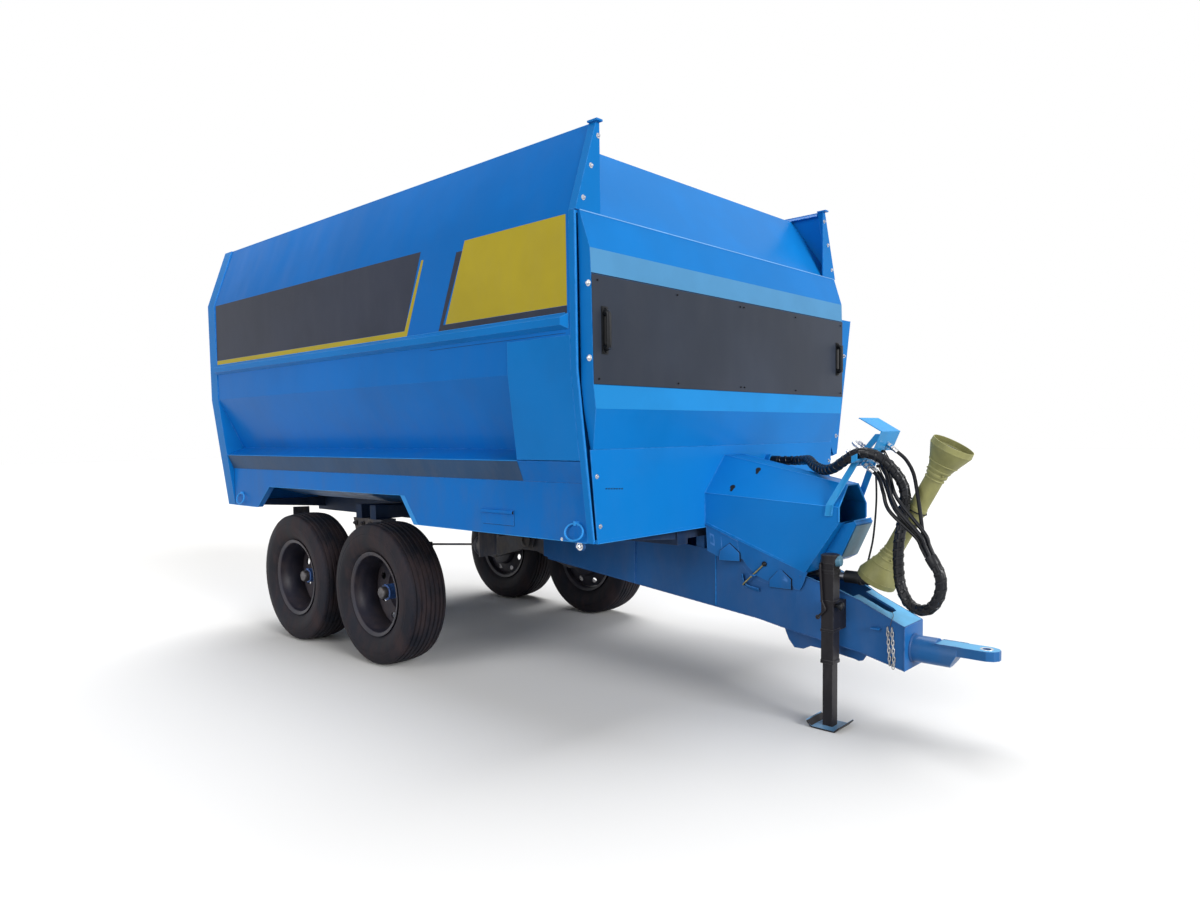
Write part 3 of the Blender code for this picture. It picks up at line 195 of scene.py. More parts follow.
# finish: slot, colour, roughness, coat, specular level, mottle and the rest
FINISHES = {
    "blue": ("blue", (0.004, 0.165, 0.5), 0.36, 0.03, 0.06, (1.3, 0.06), dict(grain=PEEL, grime=(DUST, 0.08, 1.3), wear=0.5)),
    # side walls: a darker copy of the blue, painted shade on the sides that face away from the key light
    "side": ("blue", (0.003, 0.145, 0.5), 0.36, 0.03, 0.06, (1.1, 0.06),
             dict(grain=PEEL, grime=((0.1, 0.12, 0.15), 0.3, 2.3), waves=sheet_waves, wear=0.5)),
    # a darker copy of the blue: painted shade on plates, beads and lugs low on the wagon and under the drawbar
    "low": ("blue", (0.018, 0.085, 0.25), 0.42, 0.03, 0.1, (1.6, 0.08), dict(grain=PEEL, grime=(DUST, 0.15, 1.3), wear=0.5)),
    # a lighter copy of the blue: painted highlight on hems, beads, rims, rings and ribs
    "edge": ("blue", (0.03, 0.27, 0.68), 0.38, 0.03, 0.1, (4.0, 0.08), dict(grain=PEEL, grime=(DUST, 0.08, 1.3))),
    "inside": ("blue", (0.006, 0.12, 0.34), 0.42, 0.05, 0.2, (2.0, 0.15),
               dict(grime=((0.24, 0.2, 0.14), 0.45), spots=((0.16, 0.13, 0.11), 9, 0.66), wear=0.6)),
    # a lighter copy of the blue: painted sky reflection on the up-facing hose rack
    "sky": ("blue", (0.02, 0.265, 0.6), 0.38, 0.03, 0.08, (3, 0.06), dict(grime=(DUST, 0.08), wear=0.5)),
    # a paler copy of the blue: painted highlight on the top faces of the drawbar and the eye
    "pale": ("blue", (0.11, 0.38, 0.64), 0.38, 0.03, 0.08, (6, 0.08),
             dict(grime=(DUST, 0.15), spots=((0.3, 0.36, 0.42), 22, 0.68))),
    "tongue": ("blue", (0.018, 0.105, 0.31), 0.4, 0.03, 0.1, (2.2, 0.1), dict(grain=PEEL, grime=(DUST, 0.1), wear=0.6)),
    "plate": ("blue", (0.01, 0.125, 0.38), 0.38, 0.03, 0.08, (2.2, 0.08), dict(grain=PEEL, grime=(DUST, 0.1), wear=0.6)),
    # a paler, greyer copy of the blue: painted sheen on the upper strip of the front
    "strip_sheen": (None, (0.08, 0.26, 0.48), 0.4, 0.03, 0.06, (2.0, 0.05), {}),
    "foot": (None, (0.13, 0.29, 0.48), 0.36, 0, 0.2, (14, 0.12), dict(grime=(DUST, 0.25), wear=0.5)),
    "eye": ("blue", (0.014, 0.11, 0.31), 0.34, 0.06, 0.15, (5.0, 0.1),
            dict(grime=(DUST, 0.15), spots=((0.3, 0.3, 0.3), 26, 0.72), wear=0.8)),
    # a near-black blue: painted shade on the frame and gearbox under the body
    "chassis": ("blue", (0.012, 0.03, 0.075), 0.48, 0, 0.15, (3.0, 0.15), dict(grime=((0.1, 0.1, 0.1), 0.25), wear=0.4)),
    "leaf": (None, (0.07, 0.18, 0.26), 0.4, 0.05, 0.2, (6, 0.06), {}),
    "panel": (None, (0.03, 0.038, 0.056), 0.42, 0.02, 0.12, (0.7, 0.18),
              dict(grain=(160, 0.00003), grime=((0.1, 0.1, 0.11), 0.06))),
    "grip": (None, (0.006, 0.007, 0.009), 0.38, 0, 0.22, (20, 0.25), dict(grain=(500, 0.00006))),
    "running": ("running_black", (0.03, 0.036, 0.055), 0.5, 0, 0.4, (2.5, 0.15),
                dict(grime=((0.22, 0.18, 0.14), 0.55), spots=((0.14, 0.07, 0.035), 16, 0.64), wear=0.5)),
    "jack": ("jack_black", (0.012, 0.011, 0.014), 0.4, 0, 0.18, (2.5, 0.15),
             dict(grime=((0.1, 0.09, 0.09), 0.22, 0.7), spots=((0.12, 0.1, 0.1), 26, 0.7), wear=0.6)),
    "wheel": (None, (0.02, 0.02, 0.032), 0.36, 0, 0.3, (2.5, 0.15), dict(grime=((0.085, 0.06, 0.052), 0.45), wear=0.3)),
    "hub": (None, (0.045, 0.13, 0.39), 0.38, 0, 0.3, (9, 0.12), dict(grime=((0.16, 0.14, 0.13), 0.22), wear=0.5)),
    "tyre": (None, (0.009, 0.01, 0.016), 0.6, 0, 0.16, (2.0, 0.25), dict(grain=(500, 0.0001), grime=((0.06, 0.04, 0.04), 0.6))),
    "steel": ("steel", (0.42, 0.42, 0.42), 0.38, 0, 0.5, (6, 0.2), dict(metallic=1.0, spots=((0.2, 0.1, 0.05), 18, 0.66))),
    "worn": (None, (0.4, 0.39, 0.38), 0.36, 0, 0.5, (4, 0.25),
             dict(metallic=0.85, grime=((0.3, 0.22, 0.12), 0.55), spots=((0.18, 0.075, 0.03), 7, 0.6))),
    "zinc": ("steel", (0.62, 0.62, 0.63), 0.28, 0, 0.5, (30, 0.12), dict(metallic=1.0, grain=(900, 0.00003))),
    "cast": (None, (0.014, 0.014, 0.015), 0.55, 0, 0.5, (2.5, 0.15),
             dict(grain=(260, 0.00035), spots=((0.13, 0.075, 0.04), 20, 0.66), wear=0.5)),
    "guard": ("guard_yellow", (0.25, 0.245, 0.095), 0.46, 0, 0.25, (7, 0.12),
              dict(grain=(240, 0.00008), grime=((0.11, 0.11, 0.06), 0.5), wear=0.5)),
    "hose": ("hose_black", (0.005, 0.006, 0.009), 0.3, 0, 0.22, (9, 0.3),
             dict(grain=(700, 0.00005), grime=((0.045, 0.045, 0.05), 0.2))),
    "wrap": ("hose_black", (0.005, 0.006, 0.009), 0.24, 0, 0.28, (9, 0.3), dict(grain=(900, 0.00003))),
    "yellow_film": (None, (0.41, 0.325, 0.026), 0.38, 0.02, 0.08, (1.5, 0.06), dict(grain=FINE, grime=(DUST, 0.06))),
    "dark_film": (None, (0.03, 0.036, 0.056), 0.38, 0.02, 0.08, (1.5, 0.12), dict(grain=FINE, grime=((0.1, 0.1, 0.12), 0.1))),
    # a pale blue: painted highlight on the rolled top edge of the front
    "hem": ("blue", (0.2, 0.44, 0.76), 0.34, 0.05, 0.15, (4.0, 0.08), {}),
    "lamp_red": (None, (0.35, 0.01, 0.008), 0.18, 0.5, 0.5, (2.5, 0.15), dict(grain=(300, 0.0001))),
    # a lighter copy of the blue: painted highlight on the lower strip of the front
    "strip": (None, (0.016, 0.235, 0.59), 0.36, 0.03, 0.06, (2.0, 0.05), {}),
    # a dark greyish blue: painted shade on the ledge that faces down and out
    "ledge": ("blue", (0.028, 0.072, 0.155), 0.45, 0.02, 0.08, (2.0, 0.1), dict(grime=(DUST, 0.15))),
    "nut": ("steel", (0.1, 0.095, 0.1), 0.45, 0, 0.5, (40, 0.2), dict(metallic=0.6, spots=((0.1, 0.045, 0.02), 30, 0.6))),
    "brass": (None, (0.3, 0.27, 0.14), 0.35, 0, 0.5, (30, 0.2), dict(metallic=1.0)),
    "feed": (None, (0.3, 0.24, 0.1), 0.8, 0, 0.2, (30, 0.35), {}),
    # near black: painted shade in slots, keyholes, openings behind lugs, the panel's gap and under the step, and the
    # dark joints of the seams
    "void": (None, (0.006, 0.008, 0.012), 0.8, 0, 0.2, (2.5, 0.15), {})}
MAT = {key: surface(f"{key}_finish", *row[1:-1], **row[-1]) for key, row in FINISHES.items()}


# mesh tools
def turns(count, share=1.0):
    return [2 * math.pi * share * k / count for k in range(count)]


def polar(radius, turn):
    return radius * math.cos(turn), radius * math.sin(turn)


def circle(radius, sides):
    return [polar(radius, t) for t in turns(sides)]


def rect(a0, a1, b0, b1):
    return (a0, b0), (a1, b0), (a1, b1), (a0, b1)


def lay(axis, where, points):
    """Places in a plane, where one coordinate has the same value throughout."""
    return [(*p[:axis], where, *p[axis:]) for p in points]


def frames_along(points):
    """Two side vectors at each point of a line, carried along it without twisting."""
    ways = [(b - a).normalized() for a, b in zip(points, points[1:])]
    ways = [ways[0]] + [(a + b).normalized() for a, b in zip(ways, ways[1:])] + [ways[-1]]
    side = ways[0].orthogonal().normalized()
    out = []
    for way in ways:
        side = (side - way * side.dot(way)).normalized()
        out.append((side, way.cross(side), way))
    return out


class Form:
    """A mesh under way: plain places and ways are mirrored to side s and count from the start given."""

    def __init__(self, s=1, start=FRONT):
        self.bm, self.s, self.start = bmesh.new(), s, start

    def at(self, place):
        return place if isinstance(place, Vector) else at(self.start + place[0], self.s * place[1], place[2])

    def way(self, way):
        return way if isinstance(way, Vector) else Vector((way[0], self.s * way[1], way[2]))

    def line(self, points):
        return [self.at(p) for p in points]

    def ring(self, points):
        return [self.bm.verts.new(p) for p in points]

    def join(self, rings, caps=True):
        for one, two in zip(rings, rings[1:]):
            for i in range(len(one)):
                j = (i + 1) % len(one)
                self.bm.faces.new((one[i], one[j], two[j], two[i]))
        if caps:
            self.bm.faces.new(rings[0][::-1])
            self.bm.faces.new(rings[-1])

    def sweep(self, points, section):
        """section(k) gives the offsets (a, b) of one ring."""
        points = self.line(points)
        self.join([self.ring(p + u * a + v * b for u, v in section(k))
                   for k, (p, (a, b, _)) in enumerate(zip(points, frames_along(points)))])

    def tube(self, points, radius, sides=12):
        self.sweep(points, lambda k: circle(radius, sides))

    def turned(self, start, way, profile, sides=24):
        """A solid of revolution: profile is (distance along, radius), from axis to axis or open."""
        start, way = self.at(start), self.way(way).normalized()
        a = way.orthogonal().normalized()
        b = way.cross(a)
        rings = []
        for d, r in profile:
            middle = start + way * d
            rings.append(self.ring([middle] if r < 1e-6 else [middle + u * a + v * b for u, v in circle(r, sides)]))
        for one, two in zip(rings, rings[1:]):
            for i in range(sides):
                j = (i + 1) % sides
                corners = [one[i % len(one)], one[j % len(one)], two[j % len(two)], two[i % len(two)]]
                corners = [v for n, v in enumerate(corners) if v not in corners[:n]]
                if len(corners) > 2:
                    self.bm.faces.new(corners)

    def plate(self, outline, push):
        """A flat outline of points, thickened by the vector push."""
        outline, push = self.line(outline), self.way(push)
        self.join([self.ring(outline), self.ring(p + push for p in outline)])

    def block(self, low, high):
        (x0, y0, z0), (x1, y1, z1) = low, high
        self.plate(lay(2, z0, rect(x0, x1, y0, y1)), (0, 0, z1 - z0))

    def bolt(self, seat, way, across=0.018, washer=True):
        """Chamfered hexagon head on a washer."""
        r, lift, thick, wide = across / 1.732, 0.0, across * 0.12, across * 0.95
        if washer:
            self.turned(seat, way, [(0, 0), (0, wide), (thick, wide), (thick, 0)], 20)
            lift = thick
        top = lift + across * 0.62
        self.turned(seat, way, [(lift, r), (lift + across * 0.5, r), (top, r * 0.86), (top, 0)], 6)
        shank = r * 0.55
        self.turned(seat, way, [(lift, 0), (lift, shank), (lift + across * 0.85, shank), (lift + across * 0.92, 0)], 10)

    def beads(self, points, radius=0.0034):
        """Rippled weld beads along the lines between the points."""
        points = self.line(points)
        for a, b in zip(points, points[1:]):
            count = max(int((b - a).length / 0.005), 2)
            self.sweep([a.lerp(b, k / count) for k in range(count + 1)],
                       lambda k: circle(radius * (1.0 + 0.20 * math.sin(2.2 * k) + 0.10 * math.sin(0.7 * k)), 6))

    def chain_link(self, middle, side, long=0.031, wide=0.019, wire=0.003):
        """One upright oval link of a chain."""
        points = []
        for t in turns(20):
            up = math.sin(t) * wide / 2 + math.copysign((long - wide) / 2, math.sin(t))
            points.append(self.at(middle) + Z * up + side * (math.cos(t) * (wide / 2 - wire)))
        rings = [self.ring(p + (u * a + v * b) for u, v in circle(wire, 8))
                 for p, (a, b, _) in zip(points, frames_along(points + [points[0]]))]
        self.join(rings + [rings[0]], caps=False)

    def mesh(self, name, finish, angle=32.0, bevel=0.0, weld=False):
        bm = self.bm
        if weld:
            bmesh.ops.remove_doubles(bm, verts=bm.verts, dist=0.00002)
        bmesh.ops.recalc_face_normals(bm, faces=bm.faces)
        if bevel:
            edges = [e for e in bm.edges if len(e.link_faces) == 2 and e.calc_face_angle(0) > 0.6]
            bmesh.ops.bevel(bm, geom=edges, offset=bevel, segments=2, profile=0.6, affect="EDGES", clamp_overlap=True)
        mesh = bpy.data.meshes.new(name)
        bm.to_mesh(mesh)
        bm.free()
        mesh.materials.append(MAT[finish])
        mesh.shade_smooth()
        mesh.set_sharp_from_angle(angle=math.radians(angle))
        return mesh

    def piece(self, name, finish, body="wagon", slot=None, angle=35.0, **more):
        """Turns the mesh into a piece that rides on a body."""
        obj = link(name, self.mesh(name, finish, angle, **more))
        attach(obj, body)
        slot = slot or FINISHES[finish][0]
        return obj


def smooth_route(points, step):
    """Points about `step` apart on a smooth curve through the route's own points."""
    dense = []
    ends = [2 * points[0] - points[1], *points, 2 * points[-1] - points[-2]]
    for p, a, b, n in zip(ends, ends[1:], ends[2:], ends[3:]):
        for k in range(12):
            t = k / 12
            dense.append(0.5 * (2 * a + (b - p) * t + (2 * p - 5 * a + 4 * b - n) * t * t
                                + (3 * a - p - 3 * b + n) * t ** 3))
    dense.append(points[-1])
    lengths = [0.0]
    for a, b in zip(dense, dense[1:]):
        lengths.append(lengths[-1] + (b - a).length)
    count = max(round(lengths[-1] / step), 2)
    route, i = [], 0
    for k in range(count + 1):
        want = lengths[-1] * k / count
        while i < len(lengths) - 2 and lengths[i + 1] < want:
            i += 1
        share = (want - lengths[i]) / (lengths[i + 1] - lengths[i])
        route.append(dense[i].lerp(dense[i + 1], share))
    return route


def rounded(points, radius, steps=5):
    """A route whose corners are rounded off."""
    out = [points[0]]
    for a, b, c in zip(points, points[1:], points[2:]):
        one, two = b + (a - b).normalized() * radius, b + (c - b).normalized() * radius
        for k in range(steps + 1):
            t = k / steps
            out.append(one.lerp(b, t).lerp(b.lerp(two, t), t))
    return out + [points[-1]]


# hoses
BUNDLE_R, HOSE_R, SIDE_HOSE_R, RING = 0.031, 0.010, 0.006, 0.0185
BUNDLE = [ahead(*p) for p in (
    (0.06, 0.4, 1.43), (0.19, 0.4, 1.43), (0.245, 0.392, 1.431), (0.34, 0.335, 1.438), (0.44, 0.205, 1.44),
    (0.55, 0.075, 1.411), (0.66, -0.02, 1.3965), (0.76, -0.098, 1.414), (0.845, -0.146, 1.456), (0.934, -0.158, 1.4985),
    (1.03, -0.147, 1.484), (1.112, -0.112, 1.405), (1.158, -0.086, 1.3), (1.156, -0.096, 1.17), (1.142, -0.114, 1.03),
    (1.142, -0.118, 0.9), (1.158, -0.124, 0.795), (1.205, -0.138, 0.715), (1.275, -0.16, 0.688), (1.345, -0.182, 0.715),
    (1.392, -0.197, 0.795), (1.392, -0.204, 0.89), (1.342, -0.205, 0.98))]
COUPLER_AXIS = Vector((-0.8, 0, 0.6))
COUPLERS = ((0.942, -0.074, 1.496, 0.05), (0.942, -0.03, 1.496, 0.05), (0.906, -0.074, 1.448, 0.05),
            (0.906, -0.03, 1.448, 0.05), (1.005, 0.02, 1.551, 0.04))
# for each line: its place in the ring at the bundle's end, and the points that it passes
LINES = (
    (1, ((1.165, -0.218, 1.225), (1.102, -0.152, 1.318), (1.06, -0.098, 1.386))),
    (0, ((1.19, -0.19, 1.228), (1.132, -0.15, 1.285), (1.09, -0.098, 1.342), (1.056, -0.05, 1.396))),
    (2, ((1.135, -0.222, 1.2), (1.07, -0.152, 1.288), (1.026, -0.098, 1.348))),
    (3, ((1.152, -0.186, 1.202), (1.068, -0.1, 1.302), (1.026, -0.052, 1.35))),
    (4, ((1.266, -0.142, 1.182), (1.228, -0.09, 1.286), (1.18, -0.026, 1.388), (1.124, 0.012, 1.458))))
SIDE_HOSE = [ahead(*p) for p in (
    (0.862, 0.161, 1.4), (0.862, 0.192, 1.4), (0.862, 0.214, 1.36), (0.862, 0.222, 1.2), (0.85, 0.212, 1.0),
    (0.838, 0.182, 0.88), (0.832, 0.163, 0.82), (0.832, 0.163, 0.79), (0.832, 0.163, 0.76))]


def ring_point(middle, along, k, radius):
    side = along.cross(Z).normalized()
    u, v = polar(radius, 2 * math.pi * k / 5 + math.pi / 2)
    return middle + u * side + v * side.cross(along)


def hose_piece(stands_for, route, radius, sides):
    f = Form()
    f.tube(route, radius, sides)
    hose = f.piece(f"{stands_for}_look", "hose", angle=50)
    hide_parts(stands_for)
    return hose


def make_bundle():
    """Five hoses side by side under a spiral wrap."""
    route = smooth_route(BUNDLE, 0.010)

    def section(k):
        return [polar(0.0215 + 0.0070 * abs(math.cos(2.5 * (t - 0.022 * k))) ** 0.55, t) for t in turns(40)]

    f = Form()
    f.sweep(route, section)
    body = f.piece("bundle_of_hoses", "hose", angle=60)
    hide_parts("hose_bundle")

    # flat strip wound round the bundle
    step, pitch, wide = 0.0035, 0.046, 0.017
    fine = smooth_route(BUNDLE, step)
    f = Form()
    rows = []
    for k, (p, (a, b, way)) in enumerate(zip(fine, frames_along(fine))):
        u, v = polar(1.0, 2 * math.pi * k * step / pitch)
        out, lean = u * a + v * b, way * wide / 2
        inner, outer = p + out * 0.0280, p + out * 0.0306
        rows.append(f.ring((inner - lean, outer - lean * 0.75, outer + lean * 0.75, inner + lean)))
    f.join(rows)
    wrap = f.piece("bundle_wrap", "wrap", angle=50)

    # moulded boots at the gland and where the five lines leave
    for name, end, inner in (("gland_boot", route[0], route[4]), ("outlet_boot", route[-1], route[-5])):
        f = Form()
        f.turned(end, inner - end, [(0.0004, 0), (0.0004, 0.03), (0.004, 0.0309), (0.04, 0.0309), (0.052, 0.03),
                                    (0.056, 0.027), (0.056, 0)], 32)
        f.piece(name, "hose")
    return route


def make_lines(end, along):
    for k, ((slot, by), (x, y, z, half)) in enumerate(zip(LINES, COUPLERS)):
        points = [ring_point(end + far * along, along, slot, RING + spread)
                  for far, spread in ((0.001, 0.0), (0.055, 0.002), (0.115, 0.006))]
        tail = ahead(x, y, z) - (half + 0.001) * COUPLER_AXIS
        points += [ahead(*p) for p in by] + [tail - 5 * HOSE_R * COUPLER_AXIS, tail]
        route = smooth_route(points, 0.012)
        name = f"hose_line_{k + 1}"
        hose = hose_piece(name, route, HOSE_R, 16)
        # pressed sleeve, hexagon and steel plug at the coupler
        f = Form()
        f.turned(tail - 0.045 * COUPLER_AXIS, COUPLER_AXIS,
                 [(0, 0.0103), (0.002, 0.0128), (0.012, 0.0132), (0.013, 0.0122), (0.02, 0.0122), (0.021, 0.0132),
                  (0.03, 0.0132), (0.031, 0.0118), (0.0445, 0.0118), (0.0445, 0)])
        f.turned(tail - 0.014 * COUPLER_AXIS, COUPLER_AXIS, [(0, 0.008), (0, 0.015), (0.011, 0.015), (0.011, 0.008)], 6)
        sleeve = f.piece(f"{name}_sleeve", "zinc")


def make_hoses():
    route = make_bundle()
    coarse = smooth_route(BUNDLE, 4 * BUNDLE_R)
    make_lines(route[-1], (coarse[-1] - coarse[-2]).normalized())
    route = smooth_route(SIDE_HOSE, 0.010)
    side = hose_piece("side_hose", route, SIDE_HOSE_R, 14)
    f = Form()
    for end, inner in ((route[0], route[3]), (route[-1], route[-4])):
        f.turned(end, inner - end, [(0.0003, 0), (0.0003, 0.0105), (0.01, 0.0105), (0.011, 0.0085),
                                    (0.026, 0.0085), (0.027, 0.0062)], 18)
    sleeves = f.piece("side_hose_sleeves", "zinc")


# light and ground
def make_stage():
    scene = bpy.context.scene
    scene.view_settings.view_transform = "Standard"
    scene.world = bpy.data.worlds.new("surroundings")
    scene.world.use_nodes = True
    tree = scene.world.node_tree
    rays = node(tree, "LightPath").outputs
    seen = number(tree, "ADD", rays["Is Camera Ray"], rays["Is Glossy Ray"])
    seen = number(tree, "ADD", seen, rays["Is Transmission Ray"], clamp=True)
    tree.links.new(ramp(tree, seen, 0.0, 1.0, 0.20, 1.0), tree.nodes["Background"].inputs["Strength"])
    tree.nodes["Background"].inputs["Color"].default_value = (1, 1, 1, 1)
    for name, way, strength, spread in (
            ("top_light", (-0.25, 0.3, 0.92), 2.9, 50), ("key_light", (0.93, -0.1, 0.35), 2.9, 30),
            ("side_light", (0, -0.93, 0.35), 1.3, 40)):
        data = bpy.data.lights.new(name, "SUN")
        data.energy, data.angle = strength, math.radians(spread)
        link(name, data).rotation_euler = Vector(way).to_track_quat("Z", "Y").to_euler()

    floor = bpy.data.materials.new("pale_floor")
    floor.use_nodes = True
    tree = floor.node_tree
    tree.nodes.remove(tree.nodes["Principled BSDF"])
    rays = node(tree, "LightPath").outputs
    seen = number(tree, "ADD", rays["Is Camera Ray"], rays["Is Glossy Ray"], clamp=True)
    pale = blend_colours(tree, seen, (0.45, 0.45, 0.45, 1), (0.77, 0.765, 0.755, 1))
    matt = node(tree, "BsdfDiffuse", {"Color": pale})
    tree.links.new(matt.outputs[0], tree.nodes["Material Output"].inputs["Surface"])
    bm = bmesh.new()
    bmesh.ops.create_grid(bm, x_segments=2, y_segments=2, size=60)
    mesh = bpy.data.meshes.new("floor")
    bm.to_mesh(mesh)
    bm.free()
    mesh.materials.append(floor)
    ground = link("floor", mesh)
    ground.location.z = -0.001


# finishes of the frame's own nodes, by the start of their names
FINISH_OF = (
    # the side walls and skirts take the darker side blue and the chassis and gearbox the near-black blue as painted
    # shade, and the hose rack the sky blue as a painted reflection
    ("side_wall", "side"), ("skirt", "side"), ("service_panel", "panel"), ("rocker", "running"), ("hanger", "running"),
    ("jack", "jack"), ("mixing_reel", "worn"), ("auger", "worn"), ("input_shaft", "steel"), ("shaft_guard", "guard"),
    ("shaft_yoke", "cast"), ("tractor_yoke", "cast"), ("wheel", "wheel"), ("tyre", "tyre"), ("tub_floor", "inside"),
    ("tow_eye", "eye"), ("hose_rack", "sky"), ("drawbar", "tongue"), ("chassis", "chassis"), ("gearbox_guard", "blue"),
    ("gearbox", "chassis"))


def dress_frame():
    for name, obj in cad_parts.items():
        key = next((key for start, key in FINISH_OF if name.startswith(start)), "blue")
        obj.data.materials.clear()
        obj.data.materials.append(MAT[key])
        if name.startswith(("tyre", "wheel", "hose", "side_hose", "mixing", "auger")):
            continue
        weld = obj.modifiers.new("weld", "WELD")
        weld.merge_threshold = 0.00005
        soft = obj.modifiers.new("soft_edges", "BEVEL")
        soft.width, soft.segments, soft.limit_method, soft.angle_limit = 0.0018, 2, "ANGLE", math.radians(25)
        flat = obj.modifiers.new("flat_faces", "WEIGHTED_NORMAL")
        flat.keep_sharp, flat.weight, flat.mode = False, 100, "FACE_AREA"


# bands of film on the upright band of both sides
FILMS = (
    ("band_dark", "dark_film", ((-1.449, 2.724), (1.476, 2.724), (1.282, 2.27), (-1.468, 2.27))),
    ("band_yellow", "yellow_film",
     ((1.502, 2.673), (1.304, 2.23), (-1.468, 2.23), (-1.468, 2.2685), (1.283, 2.2685), (1.48, 2.673))),
    ("block_yellow", "yellow_film", ((1.901, 2.722), (2.713, 2.722), (2.713, 2.27), (1.702, 2.27))),
    ("block_shadow", "dark_film",
     ((1.822, 2.669), (1.875, 2.669), (1.679, 2.2685), (2.713, 2.2685), (2.713, 2.229), (1.631, 2.232))))


def make_films():
    for s, side in SIDES:
        for name, finish, outline in FILMS:
            f = Form(s, 0)
            f.plate(lay(1, BAND_Y + 0.0002, outline), (0, 0.0005, 0))
            f.piece(f"{name}_{side}", finish)


# tyres and wheels
def tread(turn, across):
    """Depth of the ribbed tread at a share of a turn and a distance from the middle."""
    off = abs(across)
    if any(abs(off - groove) < half for groove, half in ((0.0, 0.0045), (0.036, 0.0045), (0.074, 0.0045), (0.106, 0.003))):
        return 0.0095
    if (turn * 96) % 1.0 < 0.20:
        if off > 0.108:
            return 0.0022
        if 0.048 < off < 0.064:
            return 0.0020
    return 0.0


def tyre_mesh():
    profile = [(-0.106, 0.293), (-0.114, 0.3), (-0.121, 0.31), (-0.13, 0.322), (-0.1315, 0.324), (-0.1335, 0.326),
               (-0.14, 0.342), (-0.148, 0.365), (-0.1535, 0.385), (-0.156, 0.405), (-0.1555, 0.42), (-0.153, 0.428),
               (-0.1545, 0.432), (-0.1525, 0.437), (-0.15, 0.45), (-0.1445, 0.47), (-0.1385, 0.485), (-0.132, 0.4925)]
    half, steps, count = 0.126, 58, 384
    crown = []
    for k in range(steps + 1):
        a = -half + 2 * half * k / steps
        crown.append((a, 0.5068 - 0.0115 * abs(a / half) ** 2.6))
    line = profile + crown + [(-a, r) for a, r in profile[::-1]]
    worn = range(len(profile), len(profile) + len(crown))
    f = Form()
    rings = []
    for k, t in enumerate(turns(count)):
        ring = [(r - (tread(k / count, a) if i in worn else 0.0), a) for i, (a, r) in enumerate(line)]
        rings.append(f.ring((r * math.cos(t), a, r * math.sin(t)) for r, a in ring))
    f.join(rings + [rings[0]], caps=False)
    return f.mesh("tyre_form", "tyre")


def add_disc(f, s, sectors=8):
    """Conical wheel disc with rounded hand holes, about the y axis."""
    inner, outer = 0.165, 0.2635

    def place(r, t, back):
        return Vector((r * math.cos(t), s * (-0.100 + (r - inner) * 0.28 - back), r * math.sin(t)))

    step, count = 2 * math.pi / sectors, 24
    for k in range(sectors):
        mid = (k + 0.5) * step
        rows = []
        for back in (0.0, 0.012):
            rim, hole = [], []
            for i in range(count):
                part, g = divmod(i, 6)
                g /= 6
                across = (outer - inner) * g
                r, t = ((inner, mid - step / 2 + g * step), (inner + across, mid + step / 2),
                        (outer, mid + step / 2 - g * step), (outer - across, mid - step / 2))[part]
                rim.append(place(r, t, back))
                turn = math.radians(225 + 360 * i / count)
                hole.append(place(0.216 + 0.021 * math.sin(turn), mid + 0.135 * math.cos(turn), back))
            rows += [f.ring(rim), f.ring(hole)]
        f.join([rows[0], rows[1], rows[3], rows[2]], caps=False)


def wheel_meshes(s):
    """Rim with its disc, the hub, and the dark nuts and cap, all about the wheel's centre."""
    centre, way = Vector(), Y * s
    rim = Form()
    outer = [(0.116, 0.272), (0.1215, 0.276), (0.1262, 0.288), (0.1288, 0.2975), (0.128, 0.3), (0.1262, 0.3008),
             (0.124, 0.2985), (0.1215, 0.292), (0.119, 0.2908)]
    well = [(-0.085, 0.27), (-0.06, 0.26), (-0.02, 0.2585), (0.015, 0.2585), (0.03, 0.263), (0.06, 0.2635), (0.072, 0.27),
            (0.116, 0.272)]
    rim.turned(centre, way, outer + [(-a, r) for a, r in outer[::-1]] + well, 72)
    add_disc(rim, s)
    rim.turned(centre, way, [(-0.112, 0.165), (-0.135, 0.161), (-0.15, 0.15), (-0.154, 0.14), (-0.154, 0.0)], 48)
    rim.turned(centre, way, [(-0.1, 0.165), (-0.122, 0.157), (-0.138, 0.146), (-0.14, 0.14), (-0.14, 0.08)], 48)
    rim.tube([Vector((0.262 * c, s * a, 0.02)) for c, a in ((1.0, 0.06), (0.965, 0.075), (0.955, 0.105))], 0.0045, 8)
    bmesh.ops.remove_doubles(rim.bm, verts=rim.bm.verts, dist=0.0004)
    hub = Form()
    hub.turned(centre, way, [(-0.1405, 0), (-0.1405, 0.099), (-0.139, 0.1), (-0.129, 0.1), (-0.127, 0.098), (-0.118, 0.084),
                             (-0.1, 0.068), (-0.075, 0.0585), (-0.045, 0.055), (0.018, 0.0545), (0.021, 0.057),
                             (0.028, 0.057), (0.03, 0.055), (0.03, 0)], 48)
    dark = Form()
    dark.turned(centre, way, [(0.02, 0), (0.02, 0.045), (0.058, 0.044), (0.068, 0.039), (0.073, 0.025), (0.0745, 0.0)], 36)
    for k, t in enumerate(turns(10)):
        u, v = polar(1.0, t)
        dark.bolt(Vector((0.120 * u, -0.14 * s, 0.120 * v)), way, 0.027)
        if k % 2:
            dark.bolt(Vector((0.050 * u, 0.03 * s, 0.050 * v)), way, 0.0085, washer=False)
    return rim.mesh("rim_form", "wheel"), hub.mesh("hub_form", "hub"), dark.mesh("nut_form", "nut")


